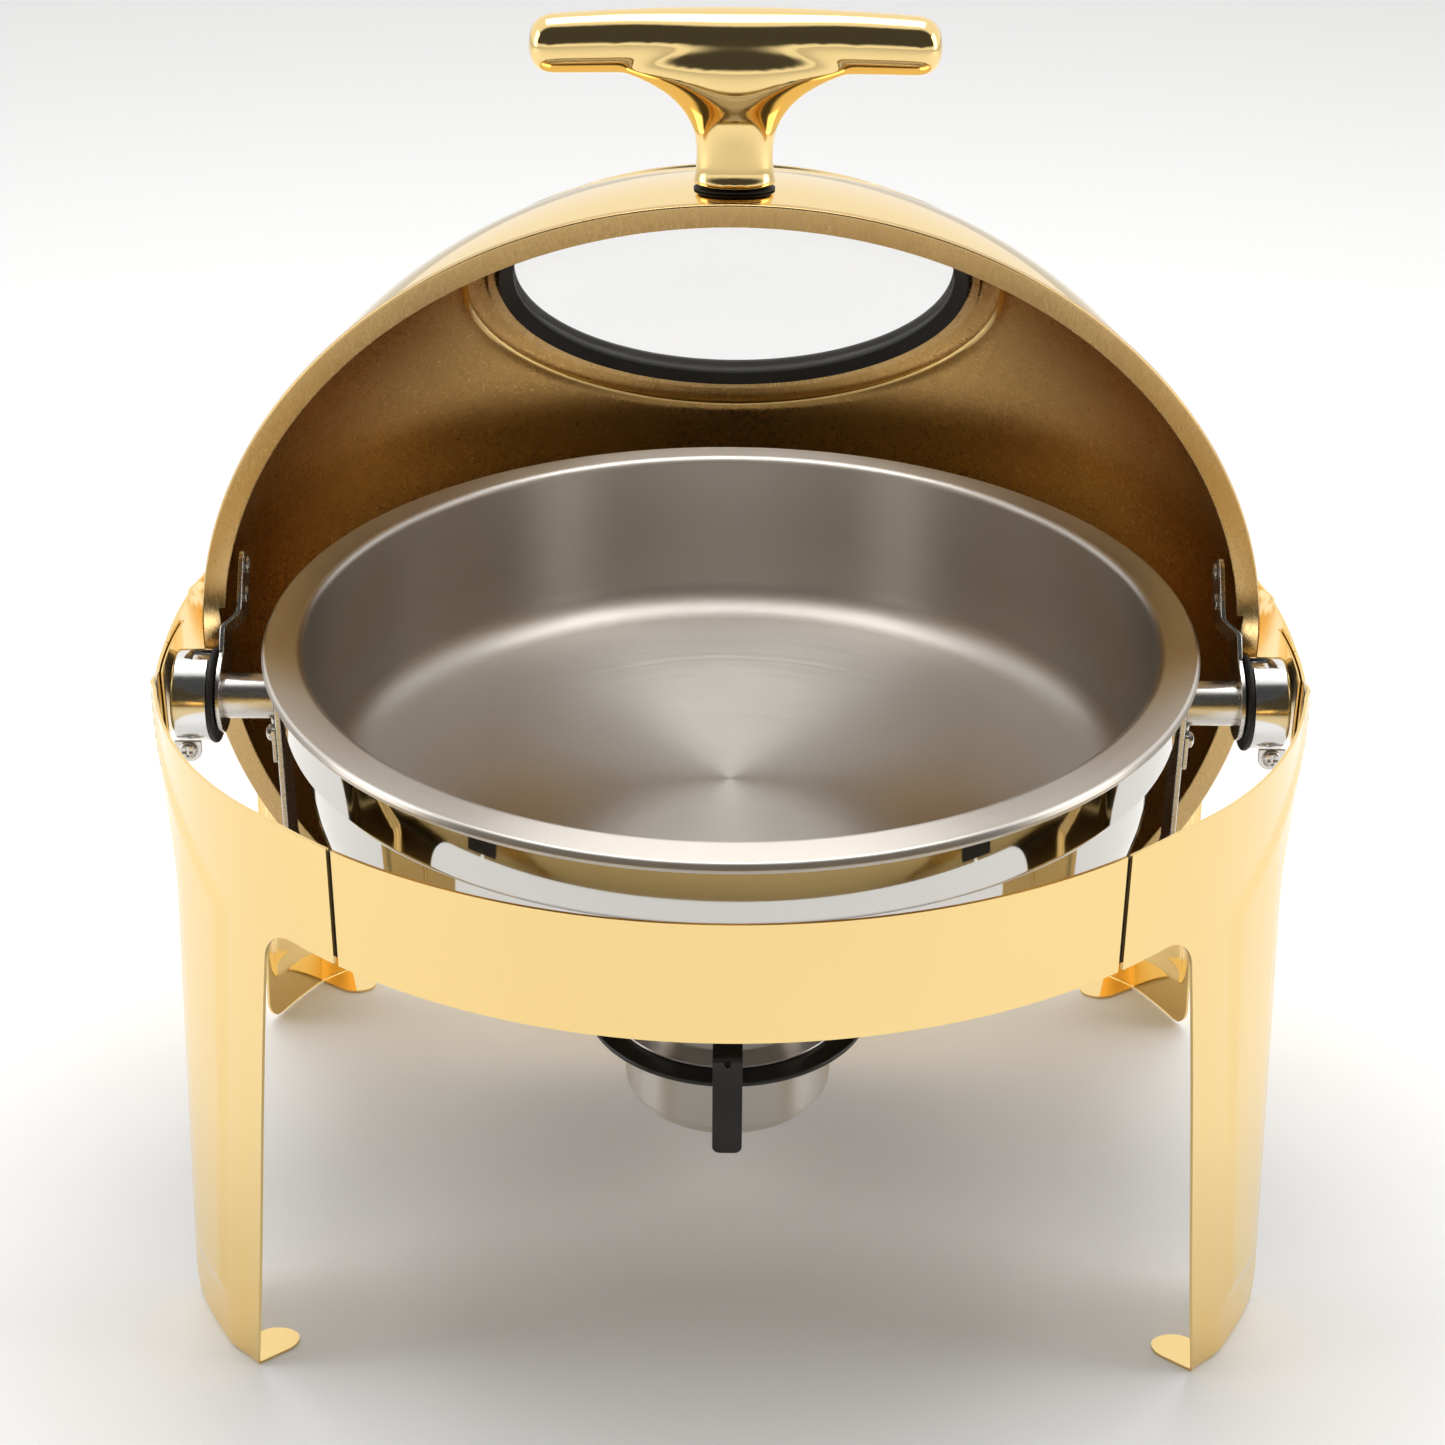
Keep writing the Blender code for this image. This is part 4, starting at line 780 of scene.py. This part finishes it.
def make_burner(seat):
    low, high = CUP_Z
    flange, sheet, neck, lip = seat + GAP, 0.0010, 0.0390, 0.052
    profile = softened([
        (0, low), (CUP_R, low, 0.008), (CUP_R, flange, 0.0006), (lip, flange, 0.0004),
        (lip, flange + sheet, 0.0004), (neck + 0.0012, flange + sheet, 0.0012), (neck, flange + 0.0040, 0.001),
        (neck, high, 0.0003), (neck - sheet, high, 0.0003), (neck - sheet, flange + 0.0012, 0.001),
        (CUP_R - sheet, flange - 0.0015, 0.001), (CUP_R - sheet, low + sheet, 0.007), (0, low + sheet)], 8)
    piece("burner_cup", turned("cup", profile, 128), SPUN)
    base = high + GAP
    profile = softened([
        (0.0255, base, 0.0003), (0.0255, base + 0.0050, 0.0008), (0.0346, base + 0.0050, 0.0009),
        (0.0350, base + 0.0035, 0.0006), (0.0406, base + 0.0035, 0.0008), (0.0412, base + 0.0022, 0.0006),
        (0.0412, base, 0.0003)], 4)
    piece("burner_collar", turned("collar", profile, 128))
    return base + 0.0050


def make_cover(top):
    low, sheet, strip = top + GAP, 0.0010, 0.0013
    base = low + sheet + GAP
    profile = softened([(0, low), (0.0345, low, 0.0004), (0.0345, low + sheet, 0.0004),
                        (0.0285, low + sheet, 0.0008), (0, low + sheet)])
    piece("burner_cover", turned("cover", profile, 128), SPUN)
    screw("cover_pin", shift(0, COVER_PIN_Y, base), 0.0036, 0.0016, 0.0018, base - top + 0.0046)
    reach, fold_z, foot_z = -0.0662, 0.0694, 0.0493
    outline = [
        (-0.0170, base + strip), (reach, base + strip, 0.0030), (reach - 0.0002, fold_z), (reach - 0.0012, foot_z),
        (reach - 0.0012 + strip, foot_z), (reach - 0.0002 + strip, fold_z), (reach + strip, base, 0.0017),
        (-0.0170, base)]
    half, corner = 0.0062, 0.0030
    handle = piece("burner_handle", prism("handle", softened(outline, 6), -half, half, "X"))
    for side in (-1, 1):
        edge = [(side * half, foot_z + corner), (side * 0.0075, foot_z + corner),
                (side * 0.0075, foot_z - 0.001), (side * (half - corner), foot_z - 0.001)]
        edge += [(side * (half - corner) + side * corner * sin(t), foot_z + corner - corner * cos(t))
                 for t in (0.0, 0.4, 0.8, 1.2)]
        cut(handle, prism("corner", edge, -0.08, -0.05, "Y"))
    cut(handle, moved(disc("hole", 0.0016, 0.05, 0.08), to_front(0, 0, 0.0935)))
    bevel = handle.modifiers.new("edge", "BEVEL")
    bevel.width = 0.0003
    bevel.segments = 2
    shade(handle)
    screw("handle_rivet", shift(0, -0.0240, base + strip + GAP), 0.0034, 0.0016, 0.0014, sheet + strip + 2 * GAP)


# ---------------------------------------------------------------- pans

def make_pans():
    sheet, rim = PAN_SHEET, PAN_RIM_Z
    top = rim - 0.0016
    shoulder = WATER_SHOULDER_Z
    bowl = (WATER_LOWER_R - WATER_CORNER_R, WATER_FLOOR_Z + WATER_CORNER_R)
    profile = softened([
        (0, WATER_FLOOR_Z), *arc(bowl, WATER_CORNER_R, 270, 360, 16), (WATER_LOWER_R, shoulder - 0.0010, 0.002),
        (WATER_WALL_R, shoulder + 0.0010, 0.003), (WATER_NECK_R, top - sheet, 0.0006),
        (WATER_FLANGE_R, top - sheet, 0.0003), (WATER_FLANGE_R, top, 0.0003), (WATER_NECK_R - sheet, top, 0.0008),
        (WATER_WALL_R - sheet, shoulder + 0.0020, 0.003), (WATER_LOWER_R - sheet, shoulder, 0.002),
        *arc(bowl, WATER_CORNER_R - sheet, 360, 270, 16),
        (0, WATER_FLOOR_Z + sheet)], 8)
    piece("water_pan", turned("water", profile, 256))

    floor = PAN_FLOOR_Z
    edge = PAN_RIM_R
    profile = softened([
        (0, floor - sheet), (PAN_FLOOR_R + 0.0012, floor - sheet, 0.017),
        (PAN_WALL_R + 0.0008, rim - 0.0010, 0.0030), (edge - 0.0020, rim - 0.0014, 0.0010),
        (edge - 0.0019, rim - 0.0042, 0.0004), (edge - 0.0008, rim - 0.0042, 0.0005),
        (edge, rim - 0.0024, 0.0010), (edge - 0.0010, rim + 0.0001, 0.0016),
        (PAN_WALL_R + 0.0010, rim + 0.0010, 0.0034), (PAN_FLOOR_R, floor, 0.016), (0, floor)], 12)
    piece("food_pan", turned("food", profile, 256), SPUN)


# ---------------------------------------------------------------- lid, in its own closed coordinates

LID = Matrix.Translation(HINGE) @ Matrix.Rotation(-LID_OPEN, 4, "X")


def leaned(angle_deg, distance=0.0):
    """A piece's Z leaves the dome at this angle from the apex, towards the rear."""
    return Matrix.Rotation(radians(-angle_deg), 4, "X") @ Matrix.Translation((0, 0, distance))


def on_sphere(radius, off_axis):
    return sqrt(radius ** 2 - off_axis ** 2)


def make_dome():
    """A spherical shell on a polar grid about the window's axis, cut off at the rim plane."""
    lean = radians(WINDOW_DEG)
    pole = Vector((0, sin(lean), cos(lean)))
    across = Vector((0, cos(lean), -sin(lean)))
    seat = RIM_LOW + RIM_DROP + GAP
    columns = 256
    near = [GASKET_R[1] + GAP, 0.1030, 0.1055, 0.1075]
    near += [0.1095 + 0.0005 * i for i in range(25)] + [0.1230, 0.1250]
    far = 56
    verts, faces, rows = [], [], []
    for inner in (False, True):
        for i in range(len(near) + far):
            row = []
            for j in range(columns):
                beta = 2 * pi * j / columns
                lift = cos(beta) * across.z
                limit = atan2(lift, pole.z) + acos(seat / DOME_R / hypot(lift, pole.z))
                if i < len(near):
                    alpha = atan2(near[i], on_sphere(DOME_R, near[i]))
                else:
                    start = atan2(near[-1], on_sphere(DOME_R, near[-1]))
                    alpha = start + (limit - start) * (i - len(near) + 1) / far
                bead = 0.0007 * 2.718 ** (-((DOME_R * sin(alpha) - BEAD_R) / 0.0022) ** 2) if alpha < 0.75 else 0.0
                radius = DOME_R + bead - (DOME_SHEET if inner else 0.0)
                direction = pole * cos(alpha) + (across * cos(beta) + Vector((1, 0, 0)) * sin(beta)) * sin(alpha)
                row.append(len(verts))
                verts.append(tuple(direction * radius))
            rows.append(row)
    half = len(near) + far
    loops = rows[:half] + rows[half:][::-1]
    for ring, after in zip(loops, loops[1:] + loops[:1]):
        for j in range(columns):
            k = (j + 1) % columns
            faces.append((ring[j], ring[k], after[k], after[j]))
    mesh = mesh_of("dome", verts, faces)
    obj = piece("lid_dome", mesh, GOLD, GOLD_SATIN)
    middle = DOME_R - DOME_SHEET / 2
    for face in obj.data.polygons:
        corners = [obj.data.vertices[i].co.length for i in face.vertices]
        face.material_index = 1 if sum(corners) / len(corners) < middle else 0


def make_rim():
    edge = sqrt(DOME_R ** 2 - (RIM_LOW + RIM_DROP) ** 2)
    seat = RIM_LOW + RIM_DROP
    profile = softened([
        (RIM_LIP_R, RIM_LOW, 0.0005), (RIM_R, RIM_LOW, 0.0008), (RIM_R - 0.0004, seat, 0.0006),
        (edge - 0.0022, seat), (edge - 0.0022, RIM_LOW + 0.0010), (RIM_LIP_R, RIM_LOW + 0.0010, 0.0004)], 4)
    rim = piece("lid_rim", turned("rim", profile, 320))
    for side, _ in SIDES:
        outline = [(-0.0092, 0.0), (0.0092, 0.0), (0.0092, 0.045), (-0.0092, 0.045)]
        notch = prism("notch", outline, *sorted((side * 0.19, side * (ARM_X[1] + 0.0006))), axis="X")
        cut(rim, moved(notch, Matrix.Rotation(radians(ARM_LEAN_DEG), 4, "X")))
    shade(rim)


def shell_ring(low_r, high_r, inner, outer, crown=0.0):
    """Outline of a ring cut from a spherical shell about Z, a little crowned on its outer face."""
    steps = 6
    outside = [lerp((low_r, high_r), i / steps) for i in range(steps + 1)]
    profile = [(r, on_sphere(outer, r) + crown * sin(pi * i / steps)) for i, r in enumerate(outside)]
    return profile + [(r, on_sphere(inner, r)) for r in reversed(outside)]


def make_window():
    lean = leaned(WINDOW_DEG)
    glass_out = DOME_R - 0.0006
    glass_in = glass_out - 0.0034
    radii = [GLASS_EDGE_R * i / 24 for i in range(25)]
    profile = [(r, on_sphere(glass_out, r)) for r in radii]
    profile += [(r, on_sphere(glass_in, r)) for r in reversed(radii)]
    piece("window_glass", moved(turned("glass", profile, 192), lean))

    low_r, high_r = GASKET_R
    lip_in, lip_out, groove = glass_in - GAP - 0.0012, glass_out + GAP + 0.0012, GLASS_EDGE_R + GAP
    corners = [(low_r, lip_in, 0.0008), (high_r, lip_in, 0.0006), (high_r, lip_out, 0.0006), (low_r, lip_out, 0.0008),
               (low_r, glass_out + GAP, 0), (groove, glass_out + GAP, 0),
               (groove, glass_in - GAP, 0), (low_r, glass_in - GAP, 0)]
    profile = softened([(r, on_sphere(radius, r), soft) for r, radius, soft in corners], 4)
    piece("window_gasket", moved(turned("gasket", profile, 192), lean))

    profile = shell_ring(*TRIM_R, DOME_R + GAP, DOME_R + 0.0010, 0.0005)
    piece("window_trim", moved(turned("trim", profile, 192), lean))
    outer = DOME_R - DOME_SHEET - 0.0006
    profile = shell_ring(*TRIM_R, outer - 0.0012, outer)
    piece("window_backing", moved(turned("backing", profile, 192), lean))


def bar_station(x, radius, centre_z):
    ring = 40
    depth = radius * 0.98 + BAR_BELLY[0] * max(1 - (x / BAR_BELLY[1]) ** 2, 0.0) ** 2
    return [(x, depth * cos(2 * pi * i / ring), centre_z + radius * sin(2 * pi * i / ring)) for i in range(ring)]


def make_handle():
    """A cast T handle: a thick bar that runs into a flared stem, polished all over."""
    base, axis_z = DOME_R + 0.0013, DOME_R + HANDLE_HEIGHT - HANDLE_BAR_R
    cap = 0.0085
    stations = []
    for i in range(41):
        x = (HANDLE_HALF_LENGTH - cap) * (i / 20 - 1)
        stations.append((x, lerp((HANDLE_END_R, HANDLE_BAR_R), 1 - (x / HANDLE_HALF_LENGTH) ** 2)))
    for t in (15, 30, 45, 60, 72, 82):
        x = HANDLE_HALF_LENGTH - cap + cap * sin(radians(t))
        radius = stations[40][1] * max(cos(radians(t)), 0.02) ** 0.75
        stations.append((x, radius))
        stations.insert(0, (-x, radius))
    rings = [bar_station(x, r, axis_z - HANDLE_DROOP * (x / HANDLE_HALF_LENGTH) ** 2) for x, r in stations]
    handle = piece("lid_handle", loft("bar", rings))

    rings = []
    for i in range(54):
        height = 0.001 * i
        half_x = along(STEM_FLARE, height)
        half_y = lerp((0.0097, 0.0160), smooth((height - 0.020) / 0.024)) + 0.0016 * smooth(1 - height / 0.006)
        half_y -= 0.0020 * smooth((height - 0.044) / 0.010)
        rings.append([(half_x * x, half_y * y, base + height) for x, y in circle(1.0)])
    cut(handle, loft("stem", rings), "UNION")
    remesh = handle.modifiers.new("skin", "REMESH")
    remesh.mode = "VOXEL"
    remesh.voxel_size = 0.0007
    blend = handle.modifiers.new("blend", "SMOOTH")
    blend.factor = 0.5
    blend.iterations = 60
    applied(handle)
    handle.data.materials.clear()
    handle.data.materials.append(GOLD)
    lean = leaned(HANDLE_DEG)
    moved(handle.data, lean)
    shade(handle, 60)

    profile = [(0, 1), (0.3, 1), (0.6, 1), (0.93, 1), (0.98, 0.9), (1, 0.7), (1, 0), (0.6, 0), (0.3, 0), (0, 0)]
    pad = turned("pad", profile, 72)
    for vert in pad.vertices:
        x, y = vert.co.x * PAD_HALF[0], vert.co.y * PAD_HALF[1]
        vert.co = (x, y, on_sphere(DOME_R + lerp((0.0003, 0.0010), vert.co.z), hypot(x, y)))
    piece("handle_pad", moved(pad, lean))
    place = lean @ shift(z=DOME_R - DOME_SHEET - 0.0009) @ Matrix.Rotation(pi, 4, "X")
    screw("handle_screw", place, 0.0062, 0.0030, 0.0026, 0.0125, recess=(0.0016, 0.0064, 0.0014))


def make_lid_arm(side, hand):
    """A steel plate from the shaft to the dome, with a jog that clears the lip."""
    eye_r = 0.0150
    tip = sqrt((DOME_R - DOME_SHEET - 0.0012) ** 2 - ARM_TIP_X[1] ** 2)
    half_widths = ((-eye_r, 0.25 * eye_r), (-0.9 * eye_r, 0.44 * eye_r), (-0.7 * eye_r, 0.71 * eye_r),
                   (-0.4 * eye_r, 0.92 * eye_r), (0.0, eye_r), (0.005, 0.0143), (0.009, 0.0126), (0.013, 0.0103),
                   (0.016, 0.0084), (0.0345, 0.0084),
                   (tip - 0.010, 0.0084), (tip - 0.007, 0.0080), (tip - 0.005, 0.0068), (tip - 0.004, 0.0052))
    distances = sorted({d for d, _ in half_widths} | {0.026 + 0.0085 * k / 10 for k in range(11)})
    rings = []
    for distance in distances:
        width = along(half_widths, distance)
        share = smooth((distance - 0.026) / 0.0085)
        inner, outer = lerp((ARM_X[0], ARM_TIP_X[0]), share), lerp((ARM_X[1], ARM_TIP_X[1]), share)
        rings.append([(side * outer, -width, distance), (side * outer, width, distance),
                      (side * inner, width, distance), (side * inner, -width, distance)])
    lean = Matrix.Rotation(radians(ARM_LEAN_DEG), 4, "X")
    arm = piece(f"lid_arm_{hand}", moved(loft("arm", rings), lean))
    cut(arm, moved(disc("eye", SHAFT_R + GAP, 0.19, 0.22, 64), to_side(side)))
    bevel = arm.modifiers.new("edge", "BEVEL")
    bevel.width = 0.0003
    bevel.segments = 2
    shade(arm)
    for distance, where in ((tip - 0.0085, "outer"), (tip - 0.0210, "inner")):
        place = lean @ to_side(side, 0, distance) @ shift(z=ARM_TIP_X[0] - GAP) @ Matrix.Rotation(pi, 4, "X")
        screw(f"lid_rivet_{where}_{hand}", place, 0.0036, 0.0014, 0.0015, 0.0020)


# ---------------------------------------------------------------- stage, light and camera

def make_stage():
    size = 8.0
    corners = [(-size, -size, 0), (size, -size, 0), (size, size, 0), (-size, size, 0)]
    floor = mesh_of("floor", corners, [(0, 1, 2, 3)])
    obj = bpy.data.objects.new("studio_floor", floor)
    bpy.context.scene.collection.objects.link(obj)
    n = Nodes("studio_paper")
    n.link(n.mixed(n.noise(0.6, 1.0), (0.965, 0.965, 0.965), (0.98, 0.98, 0.98)), n.shader.inputs["Base Color"])
    n.set(Roughness=0.9)
    n.shader.inputs["Specular IOR Level"].default_value = 0.1
    floor.materials.append(n.material)


def area_light(name, place, target, size, power):
    data = bpy.data.lights.new(name, "AREA")
    data.shape = "RECTANGLE"
    data.size, data.size_y = size
    data.energy = power
    obj = bpy.data.objects.new(name, data)
    bpy.context.scene.collection.objects.link(obj)
    obj.location = place
    obj.rotation_euler = (Vector(target) - Vector(place)).to_track_quat("-Z", "Y").to_euler()
    return obj


def make_light():
    """A white room with a dim stretch behind the camera, and two soft boxes over the object."""
    world = bpy.data.worlds.new("studio")
    bpy.context.scene.world = world
    world.use_nodes = True
    tree = world.node_tree
    place = tree.nodes.new("ShaderNodeTexCoord")
    split = tree.nodes.new("ShaderNodeSeparateXYZ")
    tree.links.new(place.outputs["Generated"], split.inputs["Vector"])

    def step(socket, start, end):
        node = tree.nodes.new("ShaderNodeMapRange")
        node.interpolation_type = "SMOOTHSTEP"
        node.inputs["From Min"].default_value = start
        node.inputs["From Max"].default_value = end
        tree.links.new(socket, node.inputs["Value"])
        return node.outputs["Result"]

    def times(a, b):
        node = tree.nodes.new("ShaderNodeMath")
        node.operation = "MULTIPLY"
        tree.links.new(a, node.inputs[0])
        tree.links.new(b, node.inputs[1])
        return node.outputs["Value"]

    to_front = step(split.outputs["Y"], -0.10, -0.30)
    above_floor = step(split.outputs["Z"], 0.02, 0.16)
    below_top = step(split.outputs["Z"], 0.985, 0.93)
    dim = times(times(to_front, above_floor), below_top)
    ramp = tree.nodes.new("ShaderNodeMapRange")
    ramp.inputs["To Min"].default_value = 1.02
    ramp.inputs["To Max"].default_value = 0.06
    tree.links.new(dim, ramp.inputs["Value"])
    background = tree.nodes["Background"]
    background.inputs["Color"].default_value = (1.0, 0.995, 0.985, 1.0)
    tree.links.new(ramp.outputs["Result"], background.inputs["Strength"])
    area_light("soft_box_top", (0.0, 0.5, 2.2), (0, 0, 0.2), (1.6, 1.0), 20)
    area_light("soft_box_left", (-2.1, -0.2, 1.0), (0, 0, 0.2), (1.0, 1.6), 10)
    area_light("soft_box_right", (2.1, -0.2, 1.0), (0, 0, 0.2), (1.0, 1.6), 10)


def make_camera():
    camera = bpy.data.cameras.new("camera")
    camera.sensor_width = 36.0
    camera.lens = 66.80
    camera.shift_x = -0.0055
    camera.shift_y = -0.0178
    camera.clip_end = 50.0
    obj = bpy.data.objects.new("camera", camera)
    bpy.context.scene.collection.objects.link(obj)
    elevation, distance, aim = radians(27.70), 1.10, Vector((0, 0, 0.230))
    roll = radians(0.452)
    obj.location = aim + Vector((0, -cos(elevation), sin(elevation))) * distance
    look = Matrix.Rotation(pi / 2 - elevation, 4, "X") @ Matrix.Rotation(roll, 4, "Z")
    obj.rotation_euler = look.to_euler()
    bpy.context.scene.camera = obj


def main():
    make_camera()
    make_stage()
    make_light()
    bpy.context.scene.view_settings.view_transform = "Standard"
    make_frame()
    for side, hand in SIDES:
        make_hinge(side, hand)
    make_cradle()
    seat = make_bracket()
    make_cover(make_burner(seat))
    make_pans()
    make_dome()
    make_rim()
    make_window()
    make_handle()
    for side, hand in SIDES:
        make_lid_arm(side, hand)
    for obj in bpy.context.scene.objects:
        if BODY.get(obj.name.removesuffix("_surface")) == "lid" and obj.name.endswith("_surface"):
            moved(obj.data, LID)


main()

bpy.context.view_layer.update()
